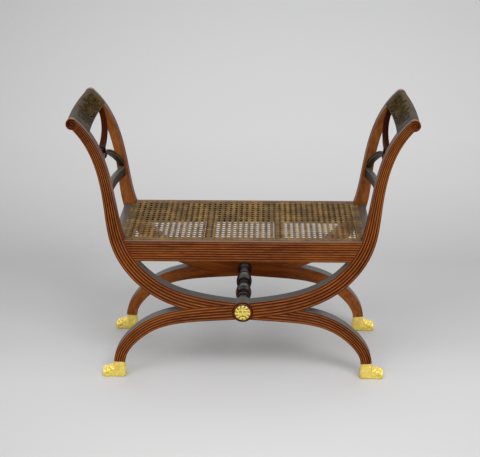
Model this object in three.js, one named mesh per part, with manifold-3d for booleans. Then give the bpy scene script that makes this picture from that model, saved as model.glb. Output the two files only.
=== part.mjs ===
// A window bench on crossed, reeded mahogany frames, with caned seat, scrolled arms and gilt paw feet.
// Millimetres, +Z up, X along the length, origin on the floor under the middle of the bench.
// The front is at -Y.  Each end frame is a Grecian cross: two S-curved members lapped at the middle.
import * as THREE from 'three';
import { mergeVertices } from 'three/addons/utils/BufferGeometryUtils.js';
import { NURBSCurve } from 'three/addons/curves/NURBSCurve.js';
import Module from 'manifold-3d';

const wasm = await Module();
wasm.setup();

// Driving dimensions
const overallWidth = 1000;
const overallDepth = 381;
const overallHeight = 811.5;
const seatHeight = 443;
const clearance = 0.3;
const overrun = 4;
const weld = 0.001;

// Crossed members: their S-curve, their widths from ankle to scroll, and their reeds
const memberThickness = 40;
const scrollRadius = 16.5;
const scrollProud = 1.2;
const ankleHeight = 51;
const ankleReach = 374.5;
const ankleWidth = 33;
const legWidth = 41;
const crossingWidth = 49.5;
const bowWidth = 49;
const seatLevelWidth = 43;
const armWidth = 30;
const scrollWidth = 28;
const memberReeds = 5;
const reedDepth = 2.6;
const memberSteps = 28;
// Control points between ankle and scroll, as shares of the scroll centre's reach and height
const curveShares = [
  [-0.772, 0.106], [-0.658, 0.195], [-0.459, 0.255], [-0.128, 0.271], [0.252, 0.291],
  [0.569, 0.3585], [0.785, 0.529], [0.793, 0.728], [0.875, 0.933],
];
// Where the member's middle line ends, as shares of the scroll radius from the scroll centre
const curveEndShares = [-0.15, 0.06];
// One reed's outline: places across its width, and its height there as a share of its depth
const reedShares = [[0, 0], [0.28, 0.92], [0.72, 0.92]];

// Seat frame
const railHeight = 63;
const railSetback = 2;
const railReeds = 8;
const railReedDepth = 1.8;
const sideRailWidth = 40;
const sideRailHeight = 50;
const sideRailSetback = 6;
const tenonThickness = 12;
const tenonHeight = 34;
const tenonDepth = 5;
const sideTenonDepth = 12;
const braceReach = 105;
const braceWidth = 22;
const braceHeight = 24;
const braceDrop = 16;

// Caned panel and its binding
const seatMargin = 23;
const longSeatMargin = 14;
const panelThickness = 2.4;
const panelRest = 12;
const caneStrand = 6;
const caneColumns = 16;
const caneRows = 7;
const bindingWidth = 6;
const bindingThickness = 1.6;
const notchGap = 1.6;

// Arms: crest tablet, mid rail and the small crossed bows between them
const crestThickness = 22;
const crestDrop = 37;
const crestLap = 22;
const crestBow = 5;
const midRailBow = 19;
const midRailHeight = 32;
const midRailThickness = 17;
const bowBarWidth = 15;
const bowBarThickness = 18;
const bowBarBow = 22;
const bowBarGroove = 2;
const collarLength = 20;
const collarWall = 3;
const pegRadius = 5;
const pegDepth = 10;
// Heights on the arm, as shares of the way from the seat to the crest's lower edge
const midRailShare = 0.341;
const archFootShare = 0.434;
const archTopShare = 0.66;
const bowlTopShare = 1.02;

// Turned stretcher, bosses and rosettes
const stretcherRadius = 23;
const stretcherTenonRadius = 11;
const stretcherTenonDepth = 16;
const bossRadius = 32.5;
const bossThickness = 6;
const bossTenonRadius = 9;
const bossTenonDepth = 10;
const bossRingRadius = 27.5;
const rosetteRadius = 23.5;
const rosetteThickness = 4;
const rosettePetals = 8;
// Outline of one half of the stretcher: place along the half, and radius, as shares
const stretcherShares = [
  [0, 0.66], [0.02, 0.66], [0.03, 0.8], [0.06, 0.8], [0.08, 0.72], [0.15, 0.92], [0.3, 1], [0.45, 0.92],
  [0.53, 0.68], [0.54, 0.62], [0.55, 0.76], [0.59, 0.8], [0.63, 0.76], [0.65, 0.68], [0.72, 0.66],
  [0.82, 0.68], [0.92, 0.87], [1, 0.91],
];

// Paw feet
const pawLength = 74;
const pawWidth = 50;
const pawHeel = 4;
const pawToes = 4;
const toeRadius = 10.5;
const pawTenonRadius = 9;
const pawTenonDepth = 20;

// Derived places
const reach = overallWidth / 2 - scrollRadius;
const rise = overallHeight - scrollRadius;
const innerFace = overallDepth / 2 - memberThickness;
const facetsRound = 20;
const facetsPeg = 12;
const facetsStretcher = 16;

// Finishes
const mahogany = new THREE.MeshStandardMaterial({ color: 0x6b2f17, roughness: 0.4, metalness: 0 });
const darkMahogany = new THREE.MeshStandardMaterial({ color: 0x2a1510, roughness: 0.35, metalness: 0 });
const gilt = new THREE.MeshStandardMaterial({ color: 0xd9b13b, roughness: 0.35, metalness: 1 });
const cane = new THREE.MeshStandardMaterial({ color: 0x8a6a3c, roughness: 0.7, metalness: 0 });

// Solid modelling helpers

// Turns a closed geometry into a solid that can be joined and cut
function solid(geometry) {
  const bare = geometry.clone();
  bare.deleteAttribute('normal');
  bare.deleteAttribute('uv');
  const merged = mergeVertices(bare, weld);
  return new wasm.Manifold(new wasm.Mesh({
    numProp: 3,
    vertProperties: new Float32Array(merged.attributes.position.array),
    triVerts: new Uint32Array(merged.index.array),
  }));
}

// Turns a solid back into a geometry
function geometryOf(body) {
  const mesh = body.getMesh();
  const geometry = new THREE.BufferGeometry();
  geometry.setAttribute('position', new THREE.BufferAttribute(mesh.vertProperties, 3));
  geometry.setIndex(new THREE.BufferAttribute(mesh.triVerts, 1));
  return geometry;
}

// Reflects a geometry across the plane through the origin that is square to one axis
function reflected(geometry, axis) {
  const copy = geometry.index ? geometry.toNonIndexed() : geometry.clone();
  const flips = { x: [-1, 1, 1], y: [1, -1, 1] }[axis];
  copy.scale(...flips);
  const places = copy.attributes.position;
  for (let i = 0; i < places.count; i += 3) {
    const second = new THREE.Vector3().fromBufferAttribute(places, i + 1);
    const third = new THREE.Vector3().fromBufferAttribute(places, i + 2);
    places.setXYZ(i + 1, third.x, third.y, third.z);
    places.setXYZ(i + 2, second.x, second.y, second.z);
  }
  return copy;
}

// Skins a solid over stations.  A station has an origin, two section axes and a section outline.
function sweep(stations) {
  const rings = stations.map(({ origin, across, out, section }) => section.map(
    (point) => origin.clone().addScaledVector(across, point.x).addScaledVector(out, point.y),
  ));
  const count = rings[0].length;
  const places = rings.flat().flatMap((point) => [point.x, point.y, point.z]);
  const faces = [];
  for (let i = 0; i + 1 < rings.length; i += 1) {
    for (let j = 0; j < count; j += 1) {
      const k = (j + 1) % count;
      const [a, b, c, d] = [i * count + j, i * count + k, (i + 1) * count + k, (i + 1) * count + j];
      faces.push(a, b, c, a, c, d);
    }
  }
  const last = (rings.length - 1) * count;
  const turned = THREE.ShapeUtils.isClockWise(stations[0].section);
  const capped = (section) => THREE.ShapeUtils.triangulateShape(section, [])
    .map(([p, q, r]) => (turned ? [r, q, p] : [p, q, r]));
  for (const [p, q, r] of capped(stations[0].section)) faces.push(r, q, p);
  for (const [p, q, r] of capped(stations.at(-1).section)) faces.push(last + p, last + q, last + r);
  const geometry = new THREE.BufferGeometry();
  geometry.setAttribute('position', new THREE.Float32BufferAttribute(places, 3));
  geometry.setIndex(faces);
  return signedVolume(geometry) < 0 ? turnedOver(geometry) : geometry;
}

function signedVolume(geometry) {
  const corner = [new THREE.Vector3(), new THREE.Vector3(), new THREE.Vector3()];
  let total = 0;
  for (let i = 0; i < geometry.index.count; i += 3) {
    corner.forEach((point, j) => {
      point.fromBufferAttribute(geometry.attributes.position, geometry.index.getX(i + j));
    });
    total += corner[0].dot(corner[1].clone().cross(corner[2]));
  }
  return total;
}

function turnedOver(geometry) {
  const index = Array.from(geometry.index.array);
  geometry.setIndex(index.map((_, i) => index[i - (i % 3) + 2 - (i % 3)]));
  return geometry;
}

// A box between two corners
function box(low, high) {
  const size = high.map((value, i) => value - low[i]);
  const middle = high.map((value, i) => (value + low[i]) / 2);
  return solid(new THREE.BoxGeometry(...size).translate(...middle));
}

// The rectangle from (left, bottom) to (right, top), as a section outline
function rectangle(left, right, bottom, top) {
  return [[left, bottom], [right, bottom], [right, top], [left, top]]
    .map(([x, y]) => new THREE.Vector2(x, y));
}

// A round peg or turning along Y about the line through (x, z), from [y, radius] pairs with y rising
function turning(x, z, profile, facets = facetsRound) {
  const ends = [[profile[0][0], 0], ...profile, [profile.at(-1)[0], 0]];
  const outline = ends.map(([y, radius]) => new THREE.Vector2(radius, y));
  return solid(new THREE.LatheGeometry(outline, facets).translate(x, 0, z));
}

// A board face worked into reeds: a section `width` across and `depth` out, reeded on its outer side
function reededSection(width, depth, reeds, deep) {
  const points = [new THREE.Vector2(width / 2, 0), new THREE.Vector2(-width / 2, 0)];
  for (let i = 0; i < reeds; i += 1) {
    for (const [place, height] of reedShares) {
      const across = -width / 2 + ((i + place) * width) / reeds;
      points.push(new THREE.Vector2(across, depth - deep * (1 - height)));
    }
  }
  points.push(new THREE.Vector2(width / 2, depth - deep));
  return points;
}

// Crossed members

const scrollCentre = new THREE.Vector3(reach, 0, rise);
const curvePoints = [
  new THREE.Vector4(-ankleReach, 0, ankleHeight, 1),
  ...curveShares.map(([x, z]) => new THREE.Vector4(x * reach, 0, z * rise, 1)),
  new THREE.Vector4(
    reach + curveEndShares[0] * scrollRadius, 0, rise + curveEndShares[1] * scrollRadius, 1,
  ),
];
const degree = 3;
const spans = curvePoints.length - degree;
const knots = [0, 0, 0];
for (let i = 0; i <= spans; i += 1) knots.push(i / spans);
knots.push(1, 1, 1);
const memberCurve = new NURBSCurve(degree, knots, curvePoints);
const widthCurve = new THREE.SplineCurve(
  [ankleWidth, legWidth, crossingWidth, bowWidth, seatLevelWidth, armWidth, scrollWidth]
    .map((width, i) => new THREE.Vector2(i, width)),
);

// The member at a share of its length: middle point, direction to its inner side, and width
function memberAt(share) {
  const middle = memberCurve.getPointAt(share);
  const along = memberCurve.getTangentAt(share);
  const inward = new THREE.Vector3(-along.z, 0, along.x);
  return { middle, inward, width: widthCurve.getPoint(share).y };
}

// The share of the member's length, on its rising half, where its middle line is at a height
function shareAtHeight(height) {
  let [low, high] = [shareAtCrossing, 1];
  for (let i = 0; i < 40; i += 1) {
    const middle = (low + high) / 2;
    if (memberCurve.getPointAt(middle).z < height) low = middle;
    else high = middle;
  }
  return (low + high) / 2;
}

function findCrossing() {
  let [low, high] = [0, 1];
  for (let i = 0; i < 40; i += 1) {
    const middle = (low + high) / 2;
    if (memberCurve.getPointAt(middle).x < 0) low = middle;
    else high = middle;
  }
  return low;
}

const shareAtCrossing = findCrossing();
const crossingHeight = memberCurve.getPointAt(shareAtCrossing).z;

// Where the right stile's inner or outer edge is at a height, for a side of -1 or 1
function stileEdge(height, side) {
  const { middle, inward, width } = memberAt(shareAtHeight(height));
  return middle.x + (side * width) / 2 / Math.abs(inward.x);
}

// Sweeps a section along the member.  Out is measured from the member's inner face to its show face.
function sweepMember(sectionOf, grow) {
  const stations = [];
  for (let i = 0; i <= memberSteps; i += 1) {
    const { middle, inward, width } = memberAt(i / memberSteps);
    stations.push({
      origin: middle.setY(-innerFace), across: inward, out: new THREE.Vector3(0, -1, 0),
      section: sectionOf(width + 2 * grow),
    });
  }
  return solid(sweep(stations));
}

// A plain band along the member between two depths, wider than it by a clearance on each side
function memberBand(near, far) {
  return sweepMember((width) => rectangle(-width / 2, width / 2, near, far), clearance);
}

// The scroll on a member's end, with a turned eye
function scrollDisc() {
  const face = -innerFace - memberThickness;
  const eye = scrollRadius * 0.36;
  const rim = scrollRadius * 0.82;
  return turning(reach, rise, [
    [face - scrollProud, eye * 0.8], [face, eye], [face, rim - eye / 2], [face - scrollProud, rim - eye / 2],
    [face - scrollProud, rim], [face, scrollRadius], [-innerFace, scrollRadius],
  ]);
}

// The round ground of the boss: a disc through the crossing between two depths from the inner face
function roundel(near, far, grow) {
  const radius = bossRadius + grow;
  return turning(0, crossingHeight, [[-innerFace - far, radius], [-innerFace - near, radius]]);
}

function wholeMember() {
  const reeded = sweepMember((width) => reededSection(width, memberThickness, memberReeds, reedDepth), 0);
  const floorCut = box(
    [-reach, -overallDepth, -overrun], [0, overallDepth, ankleHeight],
  );
  const tenonTop = ankleHeight + overrun;
  const tenonY = -innerFace - memberThickness / 2;
  const tenon = uprightPeg(-ankleReach, tenonY, ankleHeight - pawTenonDepth, tenonTop);
  return reeded.add(scrollDisc()).add(roundel(0, memberThickness, 0)).subtract(floorCut).add(tenon);
}

// An upright round tenon under an ankle
function uprightPeg(x, y, low, high, grow = 0) {
  const peg = new THREE.CylinderGeometry(
    pawTenonRadius + grow, pawTenonRadius + grow, high - low, facetsPeg,
  );
  return solid(peg.rotateX(Math.PI / 2).translate(x, y, (low + high) / 2));
}

// Both members of the front frame.  The long one keeps its show side through the lap.
const half = memberThickness / 2;
const crossed = {
  rightward: wholeMember(),
  leftward: solid(reflected(geometryOf(wholeMember()), 'x')),
};
const lapBack = half + clearance / 2;
const lapFront = half - clearance / 2;
const bands = {
  backOfLeftward: solid(reflected(geometryOf(memberBand(-overrun, lapBack)), 'x'))
    .add(roundel(-overrun, lapBack, clearance)),
  frontOfRightward: memberBand(lapFront, memberThickness + overrun)
    .add(roundel(lapFront, memberThickness + overrun, clearance)),
  full: memberBand(-overrun, memberThickness + overrun),
};
const fullBandLeft = solid(reflected(geometryOf(bands.full), 'x'));

// Seat rails

const railMiddle = seatHeight - railHeight / 2;
const railReach = memberCurve.getPointAt(shareAtHeight(railMiddle)).x;
const sideOuter = stileEdge(seatHeight, 1) - sideRailSetback;
const sideInner = sideOuter - sideRailWidth;
const sideMiddle = sideOuter - sideRailWidth / 2;
const rebate = panelThickness + 2 * clearance;
const panelHalfLength = sideOuter - seatMargin;
const railBack = overallDepth / 2 - railSetback;
const panelHalfWidth = railBack - longSeatMargin;
const railTenonY = (railBack + innerFace) / 2;

function rebateCut() {
  return box(
    [-panelHalfLength - clearance, -panelHalfWidth - clearance, seatHeight - rebate],
    [panelHalfLength + clearance, panelHalfWidth + clearance, seatHeight + overrun],
  );
}

// The end tenon of a long rail, grown by a clearance where it cuts its mortise
function longTenon(grow) {
  const [halfThickness, halfHeight] = [tenonThickness / 2 + grow, tenonHeight / 2 + grow];
  return box(
    [railReach - 2 * tenonHeight, -railTenonY - halfThickness, railMiddle - halfHeight],
    [railReach + tenonDepth + grow, -railTenonY + halfThickness, railMiddle + halfHeight],
  );
}

function sideTenon(grow) {
  const middle = seatHeight - sideRailHeight / 2;
  const [halfWidth, halfHeight] = [tenonThickness / 2 + grow, tenonHeight / 4 + grow];
  return box(
    [sideMiddle - halfWidth, -innerFace - sideTenonDepth - grow, middle - halfHeight],
    [sideMiddle + halfWidth, -innerFace + 2 * sideTenonDepth, middle + halfHeight],
  );
}

function braceTenon(side, grow) {
  const middle = seatHeight - braceDrop - braceHeight / 2;
  const [halfWidth, halfHeight] = [braceWidth / 4 + grow, braceHeight * 0.3 + grow];
  return box(
    [side * braceReach - halfWidth, -innerFace - sideTenonDepth - grow, middle - halfHeight],
    [side * braceReach + halfWidth, -innerFace + 2 * sideTenonDepth, middle + halfHeight],
  );
}

function frontRail() {
  const section = reededSection(railHeight, railBack - innerFace, railReeds, railReedDepth);
  const stations = [-railReach, railReach].map((x) => ({
    origin: new THREE.Vector3(x, -innerFace, railMiddle), across: new THREE.Vector3(0, 0, 1),
    out: new THREE.Vector3(0, -1, 0), section,
  }));
  const board = solid(sweep(stations)).subtract(bands.full).subtract(fullBandLeft);
  const tenon = longTenon(0);
  const other = solid(reflected(geometryOf(tenon), 'x'));
  return board.add(tenon).add(other).subtract(rebateCut())
    .subtract(braceTenon(1, clearance)).subtract(braceTenon(-1, clearance));
}

function sideRail() {
  const end = innerFace - clearance;
  const board = box([sideInner, -end, seatHeight - sideRailHeight], [sideOuter, end, seatHeight]);
  const tenon = sideTenon(0);
  const other = solid(reflected(geometryOf(tenon), 'y'));
  return board.add(tenon).add(other).subtract(rebateCut());
}

function brace() {
  const end = innerFace - clearance;
  const top = seatHeight - braceDrop;
  const bar = box(
    [braceReach - braceWidth / 2, -end, top - braceHeight], [braceReach + braceWidth / 2, end, top],
  );
  const tenon = braceTenon(1, 0);
  return bar.add(tenon).add(solid(reflected(geometryOf(tenon), 'y')));
}

// Caned panel, notched round the stiles, with square gaps over the seat opening

// Half-size of the panel outline grown or shrunk by an inset, with a notch at each corner
function notchedOutline(inset) {
  const x = panelHalfLength - inset;
  const y = panelHalfWidth - inset;
  const notchX = stileEdge(seatHeight - rebate, -1) - notchGap - inset;
  const notchY = innerFace - 2 * clearance - inset;
  const quarter = [[x, notchY], [notchX, notchY], [notchX, y]];
  const outline = [];
  for (const [sx, sy, order] of [[1, 1, 1], [-1, 1, -1], [-1, -1, 1], [1, -1, -1]]) {
    const corner = quarter.map(([px, py]) => new THREE.Vector2(sx * px, sy * py));
    outline.push(...(order > 0 ? corner : corner.reverse()));
  }
  return outline;
}

function extrudeUp(shape, low, thickness) {
  const geometry = new THREE.ExtrudeGeometry(shape, { depth: thickness, bevelEnabled: false });
  return solid(geometry.translate(0, 0, low));
}

const netHalfLength = sideInner - panelRest;
const netHalfWidth = innerFace - panelRest;

// A woven net: a sheet with rows of gaps over the seat's opening
function canePanel() {
  const low = seatHeight - rebate + clearance;
  let net = extrudeUp(new THREE.Shape(notchedOutline(0)), low, panelThickness);
  const pitchX = (2 * netHalfLength + caneStrand) / caneColumns;
  const pitchY = (2 * netHalfWidth + caneStrand) / caneRows;
  for (let i = 0; i < caneColumns; i += 1) {
    for (let j = 0; j < caneRows; j += 1) {
      const [x, y] = [i * pitchX - netHalfLength, j * pitchY - netHalfWidth];
      net = net.subtract(box(
        [x, y, low - overrun],
        [x + pitchX - caneStrand, y + pitchY - caneStrand, low + panelThickness + overrun],
      ));
    }
  }
  return net;
}

function caneBinding() {
  const shape = new THREE.Shape(notchedOutline(clearance));
  shape.holes.push(new THREE.Path(notchedOutline(clearance + bindingWidth).reverse()));
  return extrudeUp(shape, seatHeight, bindingThickness);
}

// Arms.  Everything here is for the right arm.

const crestFoot = rise - crestDrop;
const armSpan = crestFoot - seatHeight;

function armHeight(share) {
  return seatHeight + share * armSpan;
}

// Outward bow of the arm at a place along Y, from its most at the middle to none at the stiles
function bowAt(y, most) {
  return most * Math.max(0, 1 - (y / innerFace) ** 2);
}

function stileX(height) {
  return memberCurve.getPointAt(shareAtHeight(height)).x;
}

const armEnd = innerFace - clearance;
const crestEnd = innerFace + crestLap;
const crestStations = 6;
const crestSteps = 5;

// The crest tablet follows the members' inner edge and rolls over with their scrolls
function crestSection(grow) {
  const start = shareAtHeight(crestFoot - grow);
  const inner = [];
  const outer = [];
  for (let i = 0; i <= crestSteps; i += 1) {
    const { middle, inward, width } = memberAt(start + ((1 - start) * i) / crestSteps);
    inner.push(middle.clone().addScaledVector(inward, width / 2 + grow));
    outer.push(middle.clone().addScaledVector(inward, width / 2 - crestThickness - grow));
  }
  const points = inner.slice(0, -1).map((point) => new THREE.Vector2(point.x, point.z));
  const { inward } = memberAt(1);
  const from = Math.atan2(inward.z, inward.x);
  const turn = Math.PI * 1.05;
  const radius = scrollRadius + grow;
  const rollSteps = 10;
  for (let i = 0; i <= rollSteps; i += 1) {
    const angle = from - (turn * i) / rollSteps;
    points.push(new THREE.Vector2(reach + radius * Math.cos(angle), rise + radius * Math.sin(angle)));
  }
  points.push(...outer.reverse().slice(1).map((point) => new THREE.Vector2(point.x, point.z)));
  return points;
}

// The crest without its tenons, or the room that it needs.  It is let into both members.
function crestBlank(grow) {
  const section = crestSection(grow);
  const end = crestEnd + grow;
  const places = [-end];
  for (let i = 0; i <= crestStations; i += 1) places.push(innerFace * ((2 * i) / crestStations - 1));
  places.push(end);
  return solid(sweep(places.map((y) => ({
    origin: new THREE.Vector3(bowAt(y, crestBow), y, 0), across: new THREE.Vector3(1, 0, 0),
    out: new THREE.Vector3(0, 0, 1), section,
  }))));
}

// A round tenon at the end of an arm rail, given by its place in the stile and by where the rail ends
function peg([x, z, end], grow) {
  const tip = end + pegDepth + grow;
  return turning(x, z, [[-tip, pegRadius + grow], [-tip + 2 * pegDepth, pegRadius + grow]], facetsPeg);
}

function withPegs(rail, places) {
  return places.reduce((sum, place) => {
    const front = peg(place, 0);
    return sum.add(front).add(solid(reflected(geometryOf(front), 'y')));
  }, rail);
}

const lowPegZ = crestFoot + crestDrop * 0.3;
const crestPegs = [[reach, rise, crestEnd], [stileX(lowPegZ), lowPegZ, crestEnd]];
const crestRoom = crestBlank(clearance);
const midRailZ = armHeight(midRailShare);
const midRailPegs = [[stileX(midRailZ), midRailZ, innerFace]];

function midRail() {
  const stations = [];
  for (let i = 0; i <= crestStations * 2; i += 1) {
    const y = armEnd * (i / crestStations - 1);
    stations.push({
      origin: new THREE.Vector3(stileX(midRailZ) + bowAt(y, midRailBow), y, midRailZ),
      across: new THREE.Vector3(0, 0, 1), out: new THREE.Vector3(1, 0, 0),
      section: rectangle(-midRailHeight / 2, midRailHeight / 2, -midRailThickness / 2, midRailThickness / 2),
    });
  }
  return withPegs(solid(sweep(stations)), midRailPegs);
}

// A curved bar of the arm's small cross: an arc from stile to stile, grooved on its inner face
const barSteps = 14;

function barSection() {
  const w = bowBarWidth / 2;
  const t = bowBarThickness / 2;
  const g = bowBarGroove;
  return [
    [-w, -t], [-w, t], [w, t], [w, -t], [w / 2, -t], [w / 4, -t + g], [-w / 4, -t + g], [-w / 2, -t],
  ].map(([x, y]) => new THREE.Vector2(x, y));
}

// The arc of a bow: its radius, half its angle, and the side of its middle that its ends lie on
function bowArc(endHeight, middleHeight) {
  const sag = Math.abs(endHeight - middleHeight);
  const radius = (armEnd ** 2 + sag ** 2) / (2 * sag);
  return { radius, sweepAngle: Math.asin(armEnd / radius), side: Math.sign(endHeight - middleHeight) };
}

function bowBar(endHeight, middleHeight) {
  const { radius, sweepAngle, side } = bowArc(endHeight, middleHeight);
  const stations = [];
  for (let i = 0; i <= barSteps; i += 1) {
    const angle = sweepAngle * ((2 * i) / barSteps - 1);
    const y = radius * Math.sin(angle);
    const z = middleHeight + side * radius * (1 - Math.cos(angle));
    stations.push({
      origin: new THREE.Vector3(stileX(z) + bowAt(y, bowBarBow), y, z),
      across: new THREE.Vector3(0, -side * Math.sin(angle), Math.cos(angle)), out: new THREE.Vector3(1, 0, 0),
      section: barSection(),
    });
  }
  const ends = box([0, -armEnd, seatHeight], [overallWidth, armEnd, overallHeight + overrun]);
  return solid(sweep(stations)).intersect(ends);
}

const archTop = armHeight(archTopShare);
const bowlBottom = archTop + bowBarWidth + clearance;
const archFoot = armHeight(archFootShare);
const bowlTop = armHeight(bowlTopShare);

function upperBow() {
  return bowBar(bowlTop, bowlBottom).subtract(crestRoom);
}

function lowerBow() {
  return bowBar(archFoot, archTop);
}

// The room that both bows fill over the collar's length, with their rise there, grown by a wall
function collarSection(grow) {
  const halfLength = collarLength / 2;
  const rises = [bowArc(archFoot, archTop), bowArc(bowlTop, bowlBottom)].map(({ radius, sweepAngle }) => (
    Math.max(radius - Math.sqrt(radius ** 2 - halfLength ** 2), halfLength * Math.tan(sweepAngle / barSteps))
  ));
  const room = Math.max(...rises) + clearance + grow;
  const w = bowBarWidth / 2 + room;
  const t = bowBarThickness / 2 + room;
  const [lowX, highX] = [archTop, bowlBottom].map((height) => stileX(height) + bowBarBow);
  return [
    [lowX - t, archTop - w], [lowX + t, archTop - w], [highX + t, bowlBottom - w],
    [highX + t, bowlBottom + w], [highX - t, bowlBottom + w], [lowX - t, archTop + w],
  ].map(([x, z]) => new THREE.Vector2(x, z));
}

function collarSweep(halfLength, section) {
  return solid(sweep([-halfLength, halfLength].map((y) => ({
    origin: new THREE.Vector3(0, y, 0), across: new THREE.Vector3(1, 0, 0),
    out: new THREE.Vector3(0, 0, 1), section,
  }))));
}

// The carved tie that wraps both bows where they meet
function collar() {
  const channel = collarSweep(collarLength / 2 + overrun, collarSection(0));
  return collarSweep(collarLength / 2, collarSection(collarWall)).subtract(channel);
}

// Turned parts

function stretcher() {
  const end = innerFace - clearance;
  const halfOutline = stretcherShares.map(([place, radius]) => [place * end, radius * stretcherRadius]);
  const profile = [
    [-end - stretcherTenonDepth, stretcherTenonRadius], [-end, stretcherTenonRadius],
    ...halfOutline.slice(1).reverse().map(([y, radius]) => [-y, radius]), ...halfOutline,
    [end, stretcherTenonRadius], [end + stretcherTenonDepth, stretcherTenonRadius],
  ];
  return turning(0, crossingHeight, profile, facetsStretcher);
}

function stretcherMortise() {
  const tip = innerFace + stretcherTenonDepth;
  return turning(0, crossingHeight, [
    [-tip - clearance, stretcherTenonRadius + clearance],
    [-innerFace + overrun, stretcherTenonRadius + clearance],
  ], facetsStretcher);
}

const showFace = -overallDepth / 2;

function bossTenon(grow) {
  return turning(0, crossingHeight, [
    [showFace - overrun, bossTenonRadius + grow], [showFace + bossTenonDepth + grow, bossTenonRadius + grow],
  ], facetsPeg);
}

function boss() {
  const back = showFace - clearance;
  const front = back - bossThickness;
  const step = bossThickness / 4;
  const body = turning(0, crossingHeight, [
    [front, rosetteRadius + step], [front + step, bossRingRadius], [back - 2 * step, bossRingRadius],
    [back - 2 * step, bossRadius - step], [back - step, bossRadius], [back, bossRadius],
  ]);
  return body.add(bossTenon(0));
}

// A round rosette with a turned eye and raised petals round it
function rosette() {
  const back = showFace - clearance - bossThickness - clearance;
  const face = back - rosetteThickness;
  const lip = rosetteThickness / 3;
  const eye = rosetteRadius / 4;
  let body = turning(0, crossingHeight, [
    [face, eye * 0.8], [face + lip, eye], [face + 1.6 * lip, rosetteRadius * 0.86],
    [face + lip, rosetteRadius * 0.93], [face + 1.5 * lip, rosetteRadius], [back, rosetteRadius],
  ]);
  for (let i = 0; i < rosettePetals; i += 1) {
    const petal = new THREE.SphereGeometry(1, 6, 4).scale(rosetteRadius * 0.16, lip, rosetteRadius * 0.27);
    petal.translate(0, 0, rosetteRadius * 0.56).rotateY((i * 2 * Math.PI) / rosettePetals);
    body = body.add(solid(petal.translate(0, face + 1.4 * lip, crossingHeight)));
  }
  return body;
}

// Paw feet.  The toes point outward from the ankle.

function ball(x, y, z, rx, ry, rz) {
  return solid(new THREE.SphereGeometry(1, 10, 7).scale(rx, ry, rz).translate(x, y, z));
}

function pawFoot() {
  const top = ankleHeight - clearance;
  const y = -innerFace - memberThickness / 2;
  const corner = memberThickness / 8;
  const ankleStation = (height, width, depth, shift) => ({
    origin: new THREE.Vector3(-ankleReach + shift, y, height), across: new THREE.Vector3(1, 0, 0),
    out: new THREE.Vector3(0, 1, 0), section: cutCornerSection(width, depth, corner),
  });
  const socket = solid(sweep([
    ankleStation(0, ankleWidth + 2 * pawHeel, memberThickness + pawHeel, 0),
    ankleStation(ankleHeight / 4, ankleWidth + 3 * pawHeel, memberThickness + 2 * pawHeel, 0),
    ankleStation((ankleHeight * 2) / 3, ankleWidth + pawHeel, memberThickness + pawHeel, 0),
    ankleStation(top, ankleWidth + pawHeel / 2, memberThickness + pawHeel / 2, 0),
  ]));
  const toeTip = -ankleReach + ankleWidth / 2 + pawHeel - pawLength;
  const padLength = pawLength * 0.42;
  const middle = toeTip + padLength;
  let paw = socket.add(ball(middle, y, ankleHeight * 0.26, padLength, pawWidth * 0.5, ankleHeight * 0.5));
  for (let i = 0; i < pawToes; i += 1) {
    const place = i - (pawToes - 1) / 2;
    const toeY = y + (place * (pawWidth - toeRadius)) / (pawToes - 0.4);
    const back = Math.abs(place) * toeRadius * 0.45;
    paw = paw.add(ball(
      toeTip + toeRadius * 1.25 + back, toeY, toeRadius * 1.05,
      toeRadius * 1.25, toeRadius * 0.72, toeRadius * 1.3,
    ));
  }
  const below = box([-overallWidth, -overallDepth, -overallHeight], [0, overallDepth, 0]);
  const mortise = uprightPeg(
    -ankleReach, y, ankleHeight - pawTenonDepth - clearance, ankleHeight + overrun, clearance,
  );
  return paw.subtract(below).subtract(mortise);
}

// A rectangle with its corners cut off
function cutCornerSection(width, depth, corner) {
  const [w, d] = [width / 2, depth / 2];
  return [
    [w, -d + corner], [w, d - corner], [w - corner, d], [-w + corner, d],
    [-w, d - corner], [-w, -d + corner], [-w + corner, -d], [w - corner, -d],
  ].map(([x, y]) => new THREE.Vector2(x, y));
}

// Assembly

const bench = new THREE.Group();

function place(name, geometry, material) {
  const mesh = new THREE.Mesh(geometry, material);
  mesh.name = name;
  bench.add(mesh);
}

function placeFrontAndRear(name, body, material) {
  const geometry = geometryOf(body);
  place(`front_${name}`, geometry, material);
  place(`rear_${name}`, reflected(geometry, 'y'), material);
}

function placeLeftAndRight(name, body, material) {
  const geometry = geometryOf(body);
  place(`right_${name}`, geometry, material);
  place(`left_${name}`, reflected(geometry, 'x'), material);
}

// What the crest and the pegs of the arms take out of the members
const armMortises = [crestRoom, ...[...crestPegs, ...midRailPegs].map((spot) => peg(spot, clearance))];

function mortised(member, side) {
  const cuts = [longTenon(clearance), sideTenon(clearance), ...armMortises];
  const turned = side > 0 ? cuts : cuts.map((cut) => solid(reflected(geometryOf(cut), 'x')));
  return turned.reduce((rest, cut) => rest.subtract(cut), member)
    .subtract(stretcherMortise()).subtract(bossTenon(clearance));
}

const rightward = crossed.rightward.subtract(bands.backOfLeftward);
const leftward = crossed.leftward.subtract(bands.frontOfRightward);
placeFrontAndRear('member_to_right_arm', mortised(rightward, 1), mahogany);
placeFrontAndRear('member_to_left_arm', mortised(leftward, -1), mahogany);
placeFrontAndRear('seat_rail', frontRail(), mahogany);
placeLeftAndRight('seat_rail', sideRail(), mahogany);
placeLeftAndRight('seat_brace', brace(), mahogany);
place('cane_panel', geometryOf(canePanel()), cane);
place('cane_binding', geometryOf(caneBinding()), cane);
placeLeftAndRight('crest_rail', withPegs(crestBlank(0), crestPegs), mahogany);
placeLeftAndRight('mid_rail', midRail(), mahogany);
placeLeftAndRight('upper_bow', upperBow(), darkMahogany);
placeLeftAndRight('lower_bow', lowerBow(), darkMahogany);
placeLeftAndRight('bow_collar', collar(), darkMahogany);
place('stretcher', geometryOf(stretcher()), darkMahogany);
placeFrontAndRear('boss', boss(), mahogany);
placeFrontAndRear('rosette', rosette(), gilt);

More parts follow.
